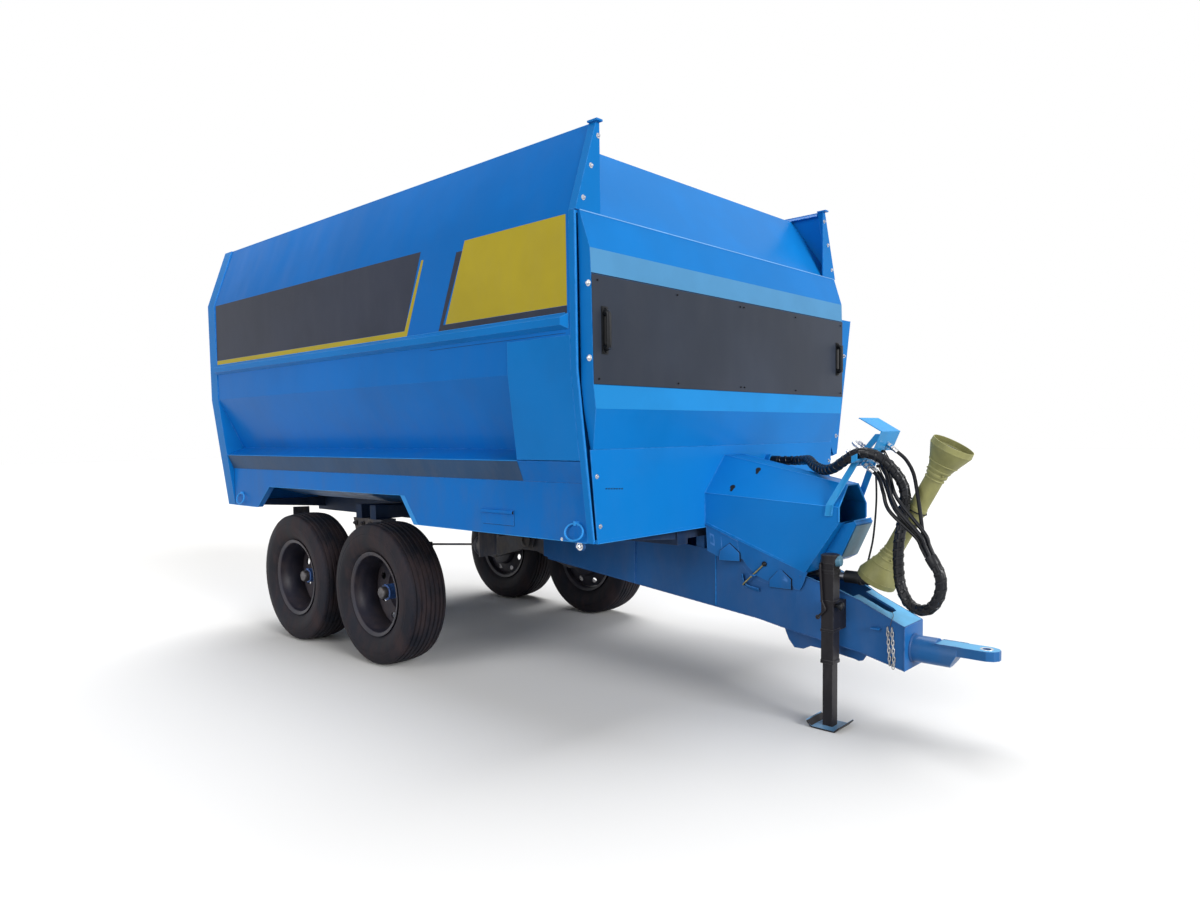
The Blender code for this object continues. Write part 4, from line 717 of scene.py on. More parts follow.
def make_wheels():
    form = tyre_mesh()
    for s, side in SIDES:
        rim, hub, nuts = wheel_meshes(s)
        for x, end in AXLES:
            for name, mesh, slot, stands_for in (
                    ("tyre_tread", form, "tyre", "tyre"), ("wheel_rim", rim, "wheel_dark", "wheel"),
                    ("wheel_hub", hub, "blue", ""), ("wheel_nuts", nuts, "wheel_dark", "")):
                made = link(f"{name}_{end}_{side}", mesh)
                made.location = at(x, s * WHEEL_Y, TYRE_R)
                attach(made, f"wheel_{end}_{side}")
                if stands_for:
                    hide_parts(f"{stands_for}_{end}_{side}")


# hems and beads in a lighter blue as painted highlight, films of painted shade, and seams, that follow the sheet
# metal's edges
def make_hems():
    for s, side in SIDES:
        start = 2.245 if side == "right" else 1.555
        # rods along three edges of each side in the lighter blue: painted highlight
        f = Form(s, 0)
        for end, y, z in ((start, 1.3097, 1.4772), (2.7, 1.3665, 2.2335), (2.732, 1.1995, 3.2)):
            f.tube([(-1.466, y, z), (end, y, z)], 0.0022, 8)
        f.piece(f"hems_{side}", "edge")
        # painted shade on the ledge under the drawn-in panel, which faces down and out
        f = Form(s, 0)
        f.plate([(-1.466, 1.309, 1.473), (start, 1.309, 1.473), (start, 1.2646, 1.364), (-1.466, 1.2646, 1.364)],
                (0, 0.0008, -0.0003))
        f.piece(f"ledge_shade_band_{side}", "ledge")
        # seams: joint of the sheets below the rail, and the skirt's rear edge
        f = Form(s, 0)
        f.plate(lay(1, 1.3652, ((1.54, 2.129), (2.7, 2.1315), (2.7, 2.1335), (1.54, 2.131))), (0, 0.0004, 0))
        f.plate(lay(1, SKIRT_FACE, rect(-1.462, -1.46, 1.05, 1.36)), (0, 0.0004, 0))
        f.piece(f"seams_{side}", "void")


def make_front_strips():
    """Folded strips above and below the black panel in painted highlight and painted sheen, a painted shadow in the
    panel's gap, a rolled top edge with a painted highlight and the front corners' lit hems.
    """
    # the lower strip paler as painted highlight, the upper one as painted sheen, and the panel's gap dark as painted
    # shadow
    for name, finish, (x0, y0, z0), (x1, y1, z1) in (
            ("lower_strip", "strip", (0.0852, 1.319, 1.746), (0.0842, 1.334, 1.866)),
            ("upper_strip", "strip_sheen", (0.0812, 1.338, 2.419), (0.0772, 1.3395, 2.542)),
            ("panel_gap_shade", "void", (0.0813, 1.337, 2.415), (0.0812, 1.337, 2.419))):
        f = Form()
        f.plate([(x0, -y0, z0), (x0, y0, z0), (x1, y1, z1), (x1, -y1, z1)], (0.0006, 0, 0))
        f.piece(name, finish)
    # the rolled top edge in pale blue: painted highlight
    f = Form()
    f.tube([(0.015, y, 2.7345) for y in (-1.343, 1.343)], 0.0028, 8)
    f.piece("cover_hem", "hem")
    # beads in the lighter blue: painted highlight on the front corners and the bottom edge
    f = Form()
    for f.s in (-1, 1):
        f.beads(lay(0, 0.002, ((1.3645, 2.73), (1.3645, 1.945), (1.258, 1.06))), 0.0028)
    f.beads([(0.0235, -1.24, 1.051), (0.0235, 1.24, 1.051)], 0.0022)
    f.piece("front_beads", "edge")
    # a row of small slots as dark plates of painted shade, and the screws of the cover's sides
    f = Form()
    for k in range(7):
        y, z = -1.188 + 0.0205 * k, 1.33 - 0.0012 * k
        f.plate(lay(0, 0.0222, rect(y, y + 0.011, z, z + 0.007)), (0.0005, 0, 0))
    f.piece("tie_slots", "void")
    f = Form()
    for f.s in (-1, 1):
        for place in ((0.064, 1.3389, 2.368), (0.062, 1.3362, 1.999)):
            f.bolt(place, (0, 1, 0), 0.017)
        for z in (1.14, 1.40):
            f.bolt((0.0218, 1.227 + (z - 1.068) * 0.08, z), X, 0.013)
    f.piece("cover_screws", "zinc")


def make_grips():
    """Moulded D grips over the panel's handles."""
    y = 1.252
    for s, side in SIDES:
        f = Form(s)
        route = rounded(f.line(lay(1, y, ((0.09, 2.052), (0.119, 2.052), (0.119, 2.227), (0.09, 2.227)))), 0.016)
        f.sweep(route, lambda k: [(0.0175 * math.copysign(abs(u) ** 0.6, u), 0.0130 * math.copysign(abs(v) ** 0.6, v))
                                  for u, v in circle(1.0, 20)])
        f.plate(lay(0, 0.0886, rect(y - 0.024, y + 0.024, 2.02, 2.259)), (0.003, 0, 0))
        for z, low in ((2.044, -0.013), (2.235, 0.013)):
            f.plate([(0.0892, y + a, z + b) for a, b in circle(0.023, 20)], (0.006, 0, 0))
            f.bolt((0.0952, y, z + low), X, 0.008, washer=False)
        f.piece(f"panel_grip_{side}", "grip", body="panel", bevel=0.0008)
    f = Form()
    for f.s in (-1, 1):
        for z in (1.895, 2.385):
            for y in (1.3, 0.65, 0.02):
                f.bolt((0.0878 + (2.413 - z) * 0.0055, y, z), X, 0.009, washer=False)
    f.piece("panel_screws", "grip", body="panel")


# guard, drawbar and its fittings
GUARD_OUT = Vector((0.17564, -0.71518, 0.67652))  # outward from the guard's sloping right face
# lower edge of the guard's side plates, and the lugs bent out of them
CUTS = ((0.026, 0.906), (0.096, 0.871), (0.239, 0.869), (0.273, 0.828), (0.307, 0.795), (0.337, 0.773), (0.376, 0.758),
        (0.414, 0.748), (0.562, 0.742), (0.576, 0.722), (0.605, 0.72), (0.624, 0.75), (0.648, 0.815))
LUGS = (((0.175, 0.9598), (0.11, 0.911), (0.1, 0.8532), (0.227, 0.8541), (0.23, 0.905)),
        ((0.488, 0.8327), (0.416, 0.762), (0.414, 0.7192), (0.553, 0.719), (0.554, 0.7765)))


def fold(x):
    share = (x - 0.030) / 0.494
    return 0.3060 - 0.0875 * share, 1.0770 - 0.2035 * share


def foot(x):
    return 0.2080 + (fold(x)[0] - 0.2080) * min(max((0.520 - x) / 0.490, 0.0), 1.0) * 0.85


def skin(x, z, lift):
    (far, high), near = fold(x), foot(x)
    one, two = next((a, b) for a, b in zip(CUTS, CUTS[1:]) if x <= b[0])
    low = one[1] + (two[1] - one[1]) * (x - one[0]) / (two[0] - one[0])
    return near - 0.0025 + lift + (far - near) * min(max((z - low) / (high - low), 0.0), 1.0)


def make_guard_details():
    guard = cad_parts["gearbox_guard"]
    bpy.context.view_layer.update()
    # keyholes as dark plates: painted shade standing in for the openings
    f = Form()
    for place in ((0.279, -0.127, 1.386), (0.177, -0.246, 1.286)):
        _, middle, out, _ = guard.ray_cast(ahead(*place) + GUARD_OUT * 0.05, -GUARD_OUT)
        up = Vector((-0.05, 0.55, 0.80))
        up = (up - out * up.dot(out)).normalized()
        outline = [(a, 0.010 + b) for a, b in (polar(0.016, math.radians(t)) for t in range(-50, 231, 14))]
        outline += [(-0.0085, -0.014), (-0.006, -0.022), (0.0, -0.025), (0.006, -0.022), (0.0085, -0.014)]
        f.plate([middle + out * 0.0004 + up.cross(out) * a + up * b for a, b in outline], out * 0.0005)
    f.piece("keyholes", "void")

    # side plates below the guard's fold, cut in steps, with bent-out five-cornered lugs over dark plates, painted shade
    # in the openings behind them
    for s, side in SIDES:
        sheet, lugs, lug_shade = Form(s), Form(s), Form(s)
        rows = []
        for x, z in CUTS:
            (far, high), near = fold(x), foot(x)
            cut = lay(0, x, ((far, high), (near, z), (near - 0.0025, z), (far - 0.0025, high)))
            rows.append(sheet.ring(sheet.line(cut)))
        sheet.join(rows)
        for outline in LUGS:
            lugs.plate([(x, skin(x, z, 0.0080), z) for x, z in outline], (0, 0.003, 0))
            x0, z0 = (sum(p[i] for p in outline) / 5 for i in (0, 1))
            wide = [(x0 + (x - x0) * 1.07, z0 + (z - z0) * 1.06) for x, z in outline]
            lug_shade.plate([(x, skin(x, z, 0.0030), z) for x, z in wide], (0, 0.003, 0))
        sheet.piece(f"guard_skirt_{side}", "plate")
        lugs.piece(f"guard_lugs_{side}", "plate", bevel=0.0012)
        lug_shade.piece(f"lug_shadows_{side}", "void")
    # locking pin with its ball, and the bent rest under it
    f = Form()
    knob, toe = ahead(0.386, -0.235, 0.849), ahead(0.247, -0.235, 0.721)
    f.tube([toe, knob], 0.0052)
    f.tube(rounded([toe, toe + Vector((-0.004, 0.0, -0.006)), ahead(0.243, -0.205, 0.712)], 0.004), 0.0052)
    f.piece("locking_pin", "brass")
    f = Form()
    f.turned(knob, knob - toe, [(0.015 * (1 - math.cos(t)) - 0.010, 0.0155 * math.sin(t)) for t in
                                [math.pi * k / 14 for k in range(15)]])
    f.piece("pin_ball", "grip")
    f = Form()
    f.block((0.3, -0.246, 0.775), (0.33, -0.205, 0.783))
    route = f.line(lay(1, -0.216, ((0.222, 0.775), (0.232, 0.735), (0.262, 0.704), (0.342, 0.69))))
    f.sweep(smooth_route(route, 0.008), lambda k: rect(-0.003, 0.003, -0.016, 0.016))
    f.piece("pin_rest", "plate", bevel=0.001)

    # weld beads and the mouth's rolled rim
    f = Form()
    for f.s in (-1, 1):
        f.beads([(0.03, 0.3085, 1.079), (0.524, 0.22, 0.8755)], 0.0036)
        f.beads([(0.025, 0.2035, 1.05), (0.025, 0.2035, 0.56)], 0.0036)
        f.beads(lay(0, 0.0226, ((0.31, 1.07), (0.31, 1.256), (0.1, 1.4795))), 0.003)
    f.piece("guard_beads", "blue")
    # rims and hems of the guard in the lighter blue: painted highlight along its edges
    f = Form()
    f.tube(lay(0, 0.8245, ((-0.169, 1.118), (-0.169, 1.199), (-0.065, 1.318), (0.065, 1.318), (0.169, 1.199), (0.169, 1.118))),
           0.0042, 8)
    f.tube([(0.8845, y, 1.1215) for y in (-0.105, 0.105)], 0.0035, 8)
    for f.s in (-1, 1):
        f.tube([(0.03, 0.3098, 1.2585), (0.824, 0.1692, 1.1995)], 0.0018, 6)
        f.tube([(0.03, 0.1, 1.48), (0.824, 0.065, 1.3185)], 0.0018, 6)
    f.piece("guard_hems", "edge")
    # bare front of the document box, and its slot as a dark plate of painted shade
    f = Form()
    way = Vector((0.904, 0, -0.427))
    f.plate([f.at(p) + way * 0.0012 for p in ((0.8057, -0.098, 0.912), (0.8057, 0.098, 0.912), (0.8926, 0.098, 1.0955),
                                             (0.8926, -0.098, 1.0955))], way * 0.0012)
    f.piece("box_front", "leaf", bevel=0.0004, slot="blue")
    f = Form()
    lift = Vector((-0.286, 0, 0.958)) * 0.0006
    f.plate([f.at(p) + lift for p in ((0.823, -0.098, 1.1018), (0.88, -0.098, 1.1188), (0.88, 0.098, 1.1188),
                                     (0.823, 0.098, 1.1018))], lift)
    f.piece("box_slot", "void")


def make_drawbar_details():
    # safety chain in two strands over the side of the nose, on a hook of wire
    f = Form()
    for x0 in (1.090, 1.114):
        for k in range(9):
            t = k / 8
            f.chain_link((x0 + 0.013 * t, -0.1305, 0.552 - 0.180 * t), X if k % 2 else Y)
    f.chain_link((1.122, -0.1305, 0.356), X)
    f.piece("safety_chain", "steel", weld=True)
    f = Form()
    route = f.line(((1.102, -0.129, 0.566), (1.11, -0.127, 0.6), (1.11, -0.118, 0.6135), (1.1, -0.08, 0.618),
                    (1.07, -0.03, 0.632), (1.066, -0.024, 0.606)))
    f.tube(smooth_route(route, 0.006), 0.0016, 8)
    f.piece("chain_wire", "cast")
    # chain tab and end plate
    f = Form()
    f.plate(lay(1, -0.1215, ((1.0, 0.556), (1.052, 0.556), (1.05, 0.549), (1.002, 0.549))), (0, -0.030, -0.004))
    f.plate(lay(0, 1.1795, rect(-0.1215, 0.1215, 0.337, 0.574)), (0.003, 0, 0))
    f.piece("nose_plate", "plate", bevel=0.0012)
    # painted highlight on the top faces of the beam and of the eye, paler where the light from above falls
    f = Form()
    for f.s in (-1, 1):
        f.plate([(x, y, 0.7345 - 0.4441 * (x - 0.821)) for x, y in
                 ((0.887, 0.0462), (1.044, 0.0462), (1.07, 0.031), (1.07, 0.0), (1.176, 0.0), (1.176, 0.119), (0.924, 0.119),
                  (0.887, 0.1272))], (0, 0, 0.0006))
        rows = [(x, 0.2 - 0.2229 * (x - 0.574), z) for x, z in ((0.63, 0.7984), (0.821, 0.7345), (0.886, 0.7056))]
        for (x0, y0, z0), (x1, y1, z1) in zip(rows, rows[1:]):
            f.plate([(x0, y0 - 0.0115, z0), (x1, y1 - 0.0115, z1), (x1, y1 - 0.002, z1), (x0, y0 - 0.002, z0)],
                    (0, 0, 0.0006))
        hole = [(1.56 + u, v) for u, v in (polar(0.034, math.pi * k / 12) for k in range(13))]
        outline = [(1.32, 0), (1.32, 0.0575), (1.573, 0.0575), (1.607, 0.041), (1.623, 0.014), (1.623, 0)]
        f.plate(lay(2, 0.4972, outline + hole), (0, 0, 0.0005))
    f.piece("beam_top_highlight", "pale")
    # plates under the beam in the darker blue: painted shade under the drawbar
    f = Form()
    outline = ((0.4, 0.5), (0.448, 0.468), (0.478, 0.4), (0.516, 0.356), (0.574, 0.357), (0.622, 0.381), (0.712, 0.376),
               (0.896, 0.352), (0.916, 0.345), (0.94, 0.352), (0.957, 0.378), (0.957, 0.392), (0.924, 0.3995), (0.574, 0.4745))
    f.plate(lay(1, -0.110, outline), (0, 0.012, 0))
    f.plate(lay(1, 0.098, outline), (0, 0.012, 0))
    f.plate(lay(1, -0.098, ((0.478, 0.4), (0.516, 0.358), (0.574, 0.359), (0.574, 0.4))), (0, 0.196, 0))
    f.piece("under_plates", "low", bevel=0.0015)
    # rim of the nose plate and weld beads in the darker blue: painted shade along the welds
    f = Form()
    f.turned((1.18, 0, 0.442), X, [(0.002, 0.0725), (0.002, 0.079), (0.006, 0.08), (0.01, 0.0775), (0.013, 0.0726)], 48)
    for f.s in (-1, 1):
        f.beads([(0.625, 0.1888, 0.8), (0.821, 0.1515, 0.734), (0.924, 0.1225, 0.687), (1.176, 0.1225, 0.576)])
        f.beads([(-0.58, 0.2005, 0.614), (0.334, 0.2005, 0.518), (0.574, 0.2005, 0.476), (0.924, 0.1225, 0.401),
                 (1.176, 0.1225, 0.342)])
    f.beads(lay(0, 1.1785, ((-0.122, 0.338), (-0.122, 0.575), (0.122, 0.575), (0.122, 0.338), (-0.122, 0.338))), 0.003)
    for y in (-0.0605, 0.0605):
        f.beads([(1.318, y, 0.4965), (1.45, y, 0.4965)], 0.003)
    f.piece("drawbar_beads", "low")
    f = Form()
    f.turned((1.56, 0, 0.4971), Z, [(-0.002, 0.0215), (0.0012, 0.0215), (0.0012, 0.033), (-0.001, 0.034)], 36)
    f.piece("eye_wear", "zinc")


def make_jack_details():
    """Folded crank, its pin and grip, square collars, lever and the round cap."""
    x, y, tube = 0.824, -0.265, 0.0345
    f = Form()
    crank = f.line([(0.789, -0.305, 0.905), (0.789, -0.3165, 0.895), (0.8, -0.3165, 0.7), (0.822, -0.3165, 0.655),
                    (0.775, -0.3165, 0.609)])
    f.tube(rounded(crank, 0.010), 0.0062)
    f.turned(crank[-1], -Y, [(-0.012, 0), (-0.012, 0.012), (0.0, 0.0135), (0.0005, 0)], 16)
    for z, half, high in ((0.69, 0.0388, 0.014), (0.53, 0.039, 0.016), (0.3555, 0.0385, 0.02), (0.85, 0.0405, 0.02)):
        for low, top in ((-half, -tube), (tube, half)):
            f.block((x - half, y + low, z), (x + half, y + top, z + high))
            f.block((x + low, y - tube, z), (x + top, y + tube, z + high))
    f.turned((x, y, 0.949), Z, [(0.0, 0.0), (0.0, 0.05), (0.003, 0.0485), (0.006, 0.04), (0.0065, 0.0)], 32)
    for z in (0.585, 0.640):
        f.bolt((x - 0.0355, y, z), -X, 0.016)
    f.piece("jack_crank", "jack", bevel=0.0010)
    f = Form()
    f.turned((x + 0.036, -0.27, 0.675), X, [(0.0, 0), (0.0, 0.01), (0.018, 0.01), (0.02, 0.02), (0.03, 0.024), (0.04, 0.0225),
                                            (0.046, 0.014), (0.047, 0)])
    f.piece("jack_knob", "grip")
    f = Form()
    f.turned((x + tube, y, 0.918), (1, 0.15, 0.1), [(0, 0), (0.0, 0.03), (0.026, 0.029), (0.03, 0.024), (0.031, 0)])
    f.piece("jack_cap", "leaf")
    # paint on the foot, round the leg
    f = Form()
    leg, edge, skim = 0.0305, 0.0845, (0, 0, 0.0008)
    line = ((-0.0995, 0.0386), (-0.068, 0.0084), (0.068, 0.0084), (0.0995, 0.0386))
    for (x0, z0), (x1, z1) in zip(line, line[1:]):
        for y0, y1 in ((-edge, -leg), (leg, edge)) if z0 == z1 else ((-edge, edge),):
            f.plate([(x + x0, y + y0, z0), (x + x1, y + y0, z1), (x + x1, y + y1, z1), (x + x0, y + y1, z0)], skim)
    for a in (-1, 1):
        f.plate(lay(2, 0.0084, rect(x + leg * a, x + 0.068 * a, y - leg, y + leg)), skim)
    f.piece("foot_paint", "foot", body="jack_foot")


# couplers, shaft guard, strap and ties
def make_rack_details():
    f = Form()
    for x, y, z, half in COUPLERS:
        middle = ahead(x, y, z)
        nose = [(0.015, 0.0105), (0.015, 0.007), (0.006, 0.007), (0.006, 0)]
        if half > 0.045:
            nose = [(0.022, 0.0135), (0.024, 0.0165), (0.046, 0.0165), (0.048, 0.0125), (0.056, 0.012), (0.058, 0.0095),
                    (0.058, 0.0062), (0.042, 0.0062), (0.042, 0)]
        f.turned(middle + (half - 0.004) * COUPLER_AXIS, COUPLER_AXIS,
                 [(-0.03, 0.0131), (-0.03, 0.016), (-0.008, 0.016), (-0.006, 0.0142), (0.0, 0.0142), (0.002, 0.0175),
                  (0.012, 0.0175), (0.0135, 0.0135)] + nose, 28)
        f.turned(middle - (half - 0.006) * COUPLER_AXIS, COUPLER_AXIS,
                 [(0, 0.013), (0, 0.0165), (0.016, 0.0165), (0.016, 0.013)], 6)
        f.turned(middle, COUPLER_AXIS, [(-0.012, 0.0131), (-0.011, 0.015), (0.004, 0.015), (0.005, 0.0131)], 28)
    f.piece("coupler_sleeves", "zinc")
    f = Form()
    for x, y, z, half in COUPLERS[:4]:
        f.turned(ahead(x, y, z) + (half - 0.026) * COUPLER_AXIS, COUPLER_AXIS,
                 [(0, 0.0152), (0, 0.016), (0.01, 0.016), (0.01, 0.0152)], 28)
    f.piece("coupler_bands", "grip")
    # weld beads and rolled hems of the rack in the sky blue: painted sky reflection
    f = Form()
    for f.s in (-1, 1):
        f.beads([(0.752, 0.1878, 1.152), (0.762, 0.187, 1.212)], 0.0026)
        f.beads([(0.786, 0.1878, 1.152), (0.796, 0.1868, 1.212)], 0.0026)
    for x, z in ((0.914, 1.6855), (1.0395, 1.6125)):
        f.tube([(x, y, z) for y in (-0.118, 0.118)], 0.0026, 8)
    f.piece("rack_hems", "sky")


SHAFT_LOW, SHAFT_LONG = ahead(0.964, 0, 0.785), 0.864
SHAFT_WAY = (ahead(1.381, 0, 1.542) - SHAFT_LOW).normalized()


def make_shaft_details():
    """Rims, collars and seams moulded on the shaft's guard, and the two black ties that hold it up."""
    f = Form()
    for base, way in ((SHAFT_LOW, SHAFT_WAY), (SHAFT_LOW + SHAFT_WAY * SHAFT_LONG, -SHAFT_WAY)):
        for d, r, wide, lift in ((0.029, 0.112, 0.006, 0.001), (0.112, 0.0765, 0.006, 0.0026), (0.15, 0.0602, 0.01, 0.0026),
                                 (0.178, 0.054, 0.016, 0.003), (0.204, 0.0497, 0.008, 0.0036)):
            half = [(wide / 2, r - 0.001), (wide / 2, r + lift * 0.6), (wide / 4, r + lift)]
            f.turned(base + way * d, way, [(-a, b) for a, b in half] + half[::-1], 48)
        side = way.orthogonal().normalized()
        for k in range(3):
            u, v = polar(1.0, 2 * math.pi * k / 3 + 0.4)
            out = u * side + v * way.cross(side)
            f.bolt(base + way * 0.165 + out * 0.0560, out, 0.010, washer=False)
    f.turned(SHAFT_LOW + SHAFT_WAY * 0.452, SHAFT_WAY, [(-0.004, 0.049), (-0.004, 0.0518), (0.0, 0.0526), (0.03, 0.0526),
                                                        (0.034, 0.0518), (0.034, 0.049)], 48)
    f.piece("shaft_rims", "guard")
    f = Form()
    for d, end in ((0.395, ahead(1.000, -0.060, 1.425)), (0.462, ahead(1.010, -0.020, 1.505))):
        centre = SHAFT_LOW + SHAFT_WAY * d
        toward = end - centre
        toward = (toward - SHAFT_WAY * toward.dot(SHAFT_WAY)).normalized()
        across = SHAFT_WAY.cross(toward)
        loop = [end]
        for k in range(17):
            u, v = polar(0.0560, math.radians(62 + 236 * k / 16))
            loop.append(centre + u * toward + v * across + SHAFT_WAY * (0.006 * k / 16))
        f.tube([*loop, end + Vector((0.004, 0.004, 0.004))], 0.0036, 8)
        f.turned(end - X * 0.004, X, [(-0.006, 0), (-0.006, 0.008), (0.010, 0.008), (0.010, 0)], 12)
    f.piece("shaft_ties", "grip")
    # black yokes: joint ears, cross pins and the locking collar of the tractor's end
    f = Form()
    for f.s in (-1, 1):
        f.turned((0.976, 0.030, 0.800), (0, 1, 0), [(0, 0), (0, 0.0175), (0.012, 0.0175), (0.0135, 0.014), (0.014, 0)])
    f.turned((0.96, 0, 0.789), X, [(-0.09, 0.0362), (-0.09, 0.04), (-0.074, 0.04), (-0.072, 0.0362)], 28)
    f.turned(SHAFT_LOW + SHAFT_WAY * (SHAFT_LONG - 0.056), SHAFT_WAY,
             [(0, 0.0362), (0, 0.0425), (0.012, 0.0432), (0.022, 0.0425), (0.024, 0.0362)], 32)
    f.piece("yoke_fittings", "cast", slot="yoke_black")


def make_side_fittings():
    for s, side in SIDES:
        # tie rings in their lugs, in the lighter blue as a painted highlight
        f = Form(s, 0)
        for x, z in ((2.656, 1.106), (-1.316, 1.112)):
            loop = []
            for k in range(25):
                u, v = polar(1.0, 2 * math.pi * k / 24)
                loop.append((x + 0.066 * u, 1.2735 + 0.012 * (1 - v), z + 0.044 * v))
            f.tube(loop, 0.0052, 10)
            f.plate(lay(1, SKIRT_FACE, rect(x - 0.02, x + 0.02, z + 0.03, z + 0.056)), (0, 0.005, 0))
            f.plate(lay(1, 1.264, rect(x - 0.008, x + 0.008, z + 0.034, z + 0.054)), (0, 0.016, 0))
        f.piece(f"tie_rings_{side}", "edge")
        # half-round step with its plate
        f = Form(s, 0)
        x0, x1 = 1.883, 2.157
        f.plate(lay(1, SKIRT_FACE, rect(x0, x1, 1.104, 1.192)), (0, 0.003, 0))
        shell = [(0.016 * math.sin(math.radians(a)), 0.0135 * math.cos(math.radians(a))) for a in range(0, 181, 15)]
        f.plate(lay(0, x0, [(1.266 + u * g, 1.178 + v * g) for u, v, g in [(u, v, 1.0) for u, v in shell] +
                            [(u, v, 0.84) for u, v in shell[::-1]]]), (x1 - x0, 0, 0))
        f.piece(f"step_{side}", "side")
        f = Form(s, 0)
        f.plate(lay(0, x1 - 0.0015, [(1.2668 + u * 0.84, 1.178 + v * 0.84) for u, v in shell]), (0.0005, 0, 0))
        for outline in (rect(x0 - 0.003, x1 + 0.003, 1.101, 1.104), rect(x1, x1 + 0.003, 1.101, 1.192)):
            f.plate(lay(1, SKIRT_FACE, outline), (0, 0.0006, 0))
        f.piece(f"step_shadow_{side}", "void")
        # painted highlight on the fold at the front of the wheel cut-out and on the hem under the skirt
        f = Form(s, 0)
        f.plate(lay(1, 1.2638, ((1.03, 1.232), (1.173, 1.0485), (1.222, 1.0485), (1.079, 1.232))), (0, 0.0008, 0))
        for radius, points in ((0.0026, ((1.18, 1.0495), (2.73, 1.0495))), (0.0026, ((-1.463, 1.0495), (-1.062, 1.0495))),
                               (0.0022, ((-1.05, 1.05), (-0.831, 1.2245), (1.03, 1.2325)))):
            f.tube(lay(1, 1.2622, points), radius, 8)
        f.piece(f"arch_fold_{side}", "edge")
        # drain plugs on a lug below the front tie ring
        f = Form(s, 0)
        f.bolt((2.676, 1.26, 1.03), (0, 1, 0), 0.024)
        f.bolt((2.545, 1.2645, 1.058), (0, 1, 0), 0.010)
        f.piece(f"plugs_{side}", "zinc")
        # the lug in the darker blue: painted shade
        f = Form(s, 0)
        f.plate(lay(1, 1.2525, ((2.64, 1.056), (2.64, 1.022), (2.655, 1.008), (2.7, 1.008), (2.712, 1.022), (2.712, 1.056))),
                (0, 0.0075, 0))
        f.piece(f"plug_lug_{side}", "low", bevel=0.001)
        f = Form(s, 0)
        for points in (((1.2, 3.196), (1.365, 2.735), (1.365, 2.24)), ((1.365, 2.145), (1.365, 1.945), (1.17, 1.537))):
            f.beads(lay(0, -1.469, points), 0.0030)
        for k in range(12):
            x = -1.30 + 0.36 * k
            if x < (2.20 if s < 0 else 1.50):
                f.beads([(x, 1.169, 1.5385), (x + 0.05, 1.169, 1.5385)], 0.0030)
        f.piece(f"side_beads_{side}", "side")


def make_running_gear():
    """Brake chambers, levers and cam shafts behind the tyres, hanger bolts and pin caps."""
    for s, side in SIDES:
        f, bolts = Form(s, 0), Form(s, 0)
        for way, x in ((1, 1.280), (-1, -1.339)):
            face, back = x - way * 0.0005, X * -way
            f.plate(lay(0, face, ((0.665, 0.79), (0.815, 0.79), (0.815, 1.004), (0.665, 0.998))), back * 0.010)
            seat = f.at((face - way * 0.010, 0.740, 0.862))
            f.turned(seat, back, [(0, 0), (0, 0.06), (0.01, 0.066), (0.038, 0.068), (0.04, 0.074), (0.052, 0.074),
                                  (0.054, 0.068), (0.075, 0.064), (0.092, 0.046), (0.096, 0.02), (0.104, 0.018),
                                  (0.104, 0)], 36)
            bolts.bolt(seat + back * 0.046 + Z * 0.078, Z, 0.012, washer=False)
            cam, lever = f.at((way * 0.610, 0.760, 0.640)), f.at((way * 0.640, 0.760, 0.822))
            f.tube([seat + back * 0.100, lever], 0.0075)
            f.tube([(way * 0.610, y, 0.640) for y in (0.725, 0.905)], 0.014, 16)
            sizes = (0.030, 0.030, 0.020, 0.017, 0.012)
            f.sweep([cam - Z * 0.030, cam, cam.lerp(lever, 0.5), lever, lever + Z * 0.018],
                    lambda k: [(u * sizes[k], v * sizes[k]) for u, v in rect(-1, 1, -0.35, 0.35)])
            f.plate([(way * 0.610 + a, 0.8, z) for a, z in ((-0.045, 0.566), (0.045, 0.556), (0.026, 0.655), (-0.026, 0.66))],
                    (0, 0.010, 0))
            bolts.bolt(lever + Y * (s * 0.012), (0, 1, 0), 0.014)
            # coil spring that pulls the lever back
            hook = f.at((way * 0.330, 0.790, 0.700))
            coil = []
            for k in range(90):
                t = k / 89
                coil.append(lever.lerp(hook, t) + Vector((0, *polar(0.011, t * 60))))
            f.tube(coil, 0.0022, 6)
        for x in (-0.150, -0.050, 0.050, 0.150):
            for y, out in ((0.9005, 1), (0.7495, -1)):
                bolts.bolt((x, y, 0.945), (0, out, 0), 0.022)
        for y, out in ((0.9005, 1), (0.7495, -1)):
            f.turned((0, y, 0.64), (0, out, 0), [(0, 0.04), (0, 0.062), (0.01, 0.062), (0.012, 0.058), (0.012, 0.04)], 36)
        f.piece(f"brake_gear_{side}", "running", angle=40)
        bolts.piece(f"gear_bolts_{side}", "nut")
        # rolled edges of the rocker beam
        f = Form(s, 0)
        for y in (0.7855, 0.9120):
            f.beads(lay(1, y, ((-0.665, 0.56), (-0.52, 0.6), (-0.12, 0.73), (0.12, 0.73), (0.52, 0.6), (0.665, 0.56))), 0.0032)
        f.piece(f"beam_beads_{side}", "running")


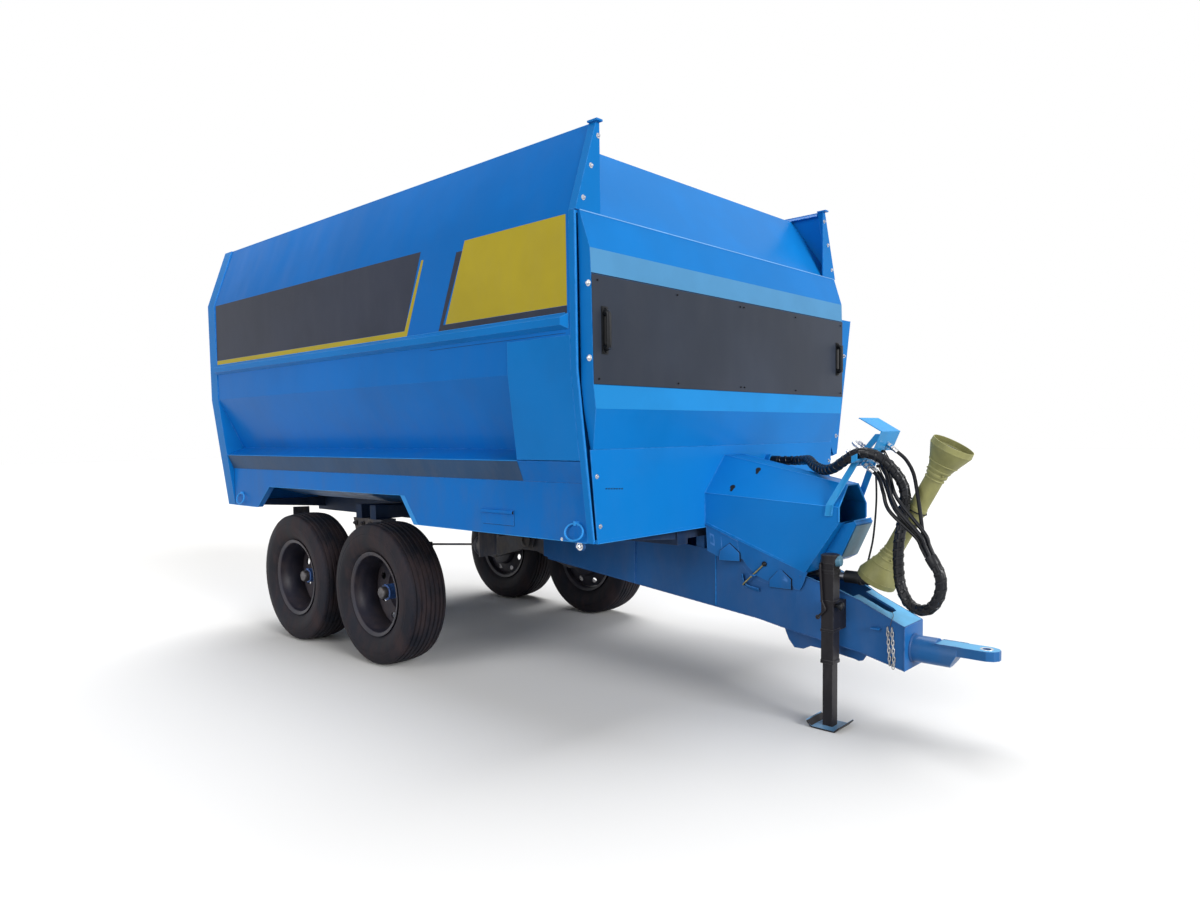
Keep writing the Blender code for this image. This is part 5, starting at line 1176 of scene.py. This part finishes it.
def make_rear_and_inside():
    """The wall bearings in the rear wall's dish, stiffeners, lamps and the worn hopper."""
    f, bolts = Form(1, 0), Form(1, 0)
    wall = -1.4784
    for y, z, r in ((0.250, 1.950, 0.120), (-0.800, 1.640, 0.085), (-0.960, 2.160, 0.085)):
        f.turned((wall, y, z), -X, [(0, 0), (0, r * 1.30), (0.010, r * 1.30), (0.012, r * 1.28), (0.012, r), (0.030, r),
                                    (0.034, r * 0.96), (0.040, r * 0.66), (0.062, r * 0.60), (0.070, r * 0.52),
                                    (0.072, r * 0.30), (0.072, 0)], 48)
        for k in range(8):
            u, v = polar(1.15 * r, 2 * math.pi * (k + 0.5) / 8)
            bolts.bolt((wall - 0.012, y + u, z + v), -X, 0.016)
        bolts.tube([(wall - 0.050, y, z + r * 0.60 + up) for up in (0, 0.014)], 0.004, 8)
    for y0, y1 in ((-0.480, -0.400), (0.560, 0.640)):
        f.plate(lay(2, 1.075, ((wall, y0), (wall - 0.048, y0 + 0.012), (wall - 0.048, y1 - 0.012), (wall, y1))), (0, 0, 2.075))
    for z in (1.330, 2.700):
        for y0, y1 in ((-1.230, -0.482), (-0.398, 0.558), (0.642, 1.230)):
            f.plate(lay(1, y0, ((wall, z), (wall - 0.040, z + 0.010), (wall - 0.040, z + 0.060), (wall, z + 0.070))),
                    (0, y1 - y0, 0))
    f.piece("rear_stiffeners", "blue", bevel=0.002)
    bolts.piece("rear_bolts", "zinc")
    lamps, boards = Form(1, 0), Form(1, 0)
    for s in (-1, 1):
        lamps.s = boards.s = s
        boards.plate(lay(0, wall - 0.002, rect(0.80, 1.13, 1.110, 1.250)), (-0.022, 0, 0))
        for y in (0.87, 1.0):
            r = 0.052
            lamps.turned((wall - 0.024, y, 1.18), -X,
                         [(0, 0), (0, r), (0.01, r), (0.016, r * 0.9), (0.02, r * 0.6), (0.021, 0)], 36)
        lamps.plate(lay(0, wall - 0.0245, ((1.068, 1.135), (1.115, 1.135), (1.0915, 1.225))), (-0.006, 0, 0))
    boards.piece("lamp_boards", "grip", bevel=0.004)
    lamps.piece("rear_lamps", "lamp_red")
    # spilt feed along the hopper's corners
    f = Form(1, 0)
    rng = random.Random(7)
    for k in range(420):
        x = rng.uniform(-1.42, 2.68)
        side = rng.choice((-1, 1))
        y = side * rng.uniform(0.98, 1.10)
        z = 1.4850 + (abs(y) - 0.98) * 0.30
        size = rng.uniform(0.004, 0.013)
        turn = rng.uniform(0, math.pi)
        f.plate([(x + size * 2.4 * math.cos(turn + a), y + size * 0.5 * math.sin(turn + a), z + 0.006 * rng.random())
                 for a in (0.0, 1.7, 3.3, 4.9)], (0, 0, 0.003))
    f.piece("spilt_feed", "feed")
    # corner bolts of the front board's plates
    f = Form()
    for f.s in (-1, 1):
        for z in (2.80, 2.97, 3.13):
            f.bolt((0.0102, 1.335 - (z - 2.735) * 0.351, z), X, 0.014)
    f.piece("corner_bolts", "zinc")


def make_discharge_details():
    f = Form()
    for x, way in ((-1.176, -1), (-0.076, 1)):
        for z in (1.58, 1.90, 2.20):
            f.bolt((x + way * 0.0002, 1.540 + (z - 1.5) * 0.205, z), X * way, 0.016)
    f.piece("chute_bolts", "zinc", body="chute")
    # ribs of the chute in the lighter blue: painted highlight
    f = Form(1, 0)
    for x in (1.80, 2.15, 2.50):
        f.plate([(x - 0.02, 1.583, 1.47), (x + 0.02, 1.583, 1.47), (x + 0.02, 1.787, 2.43), (x - 0.02, 1.787, 2.43)],
                (0, 0.0042, -0.0009))
    f.piece("chute_ribs", "edge", body="chute", bevel=0.001)
    f = Form(1, 0)
    for x in (1.75, 2.15, 2.55):
        f.bolt((x, 1.3722, 1.6), (0, 1, 0.12), 0.016)
        f.bolt((x, 1.3745, 1.89), (0, 1, 0.12), 0.016)
    handle = f.line(lay(2, 1.745, ((2.05, 1.352), (2.05, 1.372), (2.25, 1.372), (2.25, 1.352))))
    f.tube(rounded(handle, 0.008), 0.006, 10)
    f.piece("door_bolts", "zinc", body="door")


make_camera()
make_hoses()
make_stage()
dress_frame()
make_films()
make_wheels()
make_hems()
make_front_strips()
make_grips()
make_guard_details()
make_drawbar_details()
make_jack_details()
make_rack_details()
make_shaft_details()
make_side_fittings()
make_running_gear()
make_rear_and_inside()
make_discharge_details()
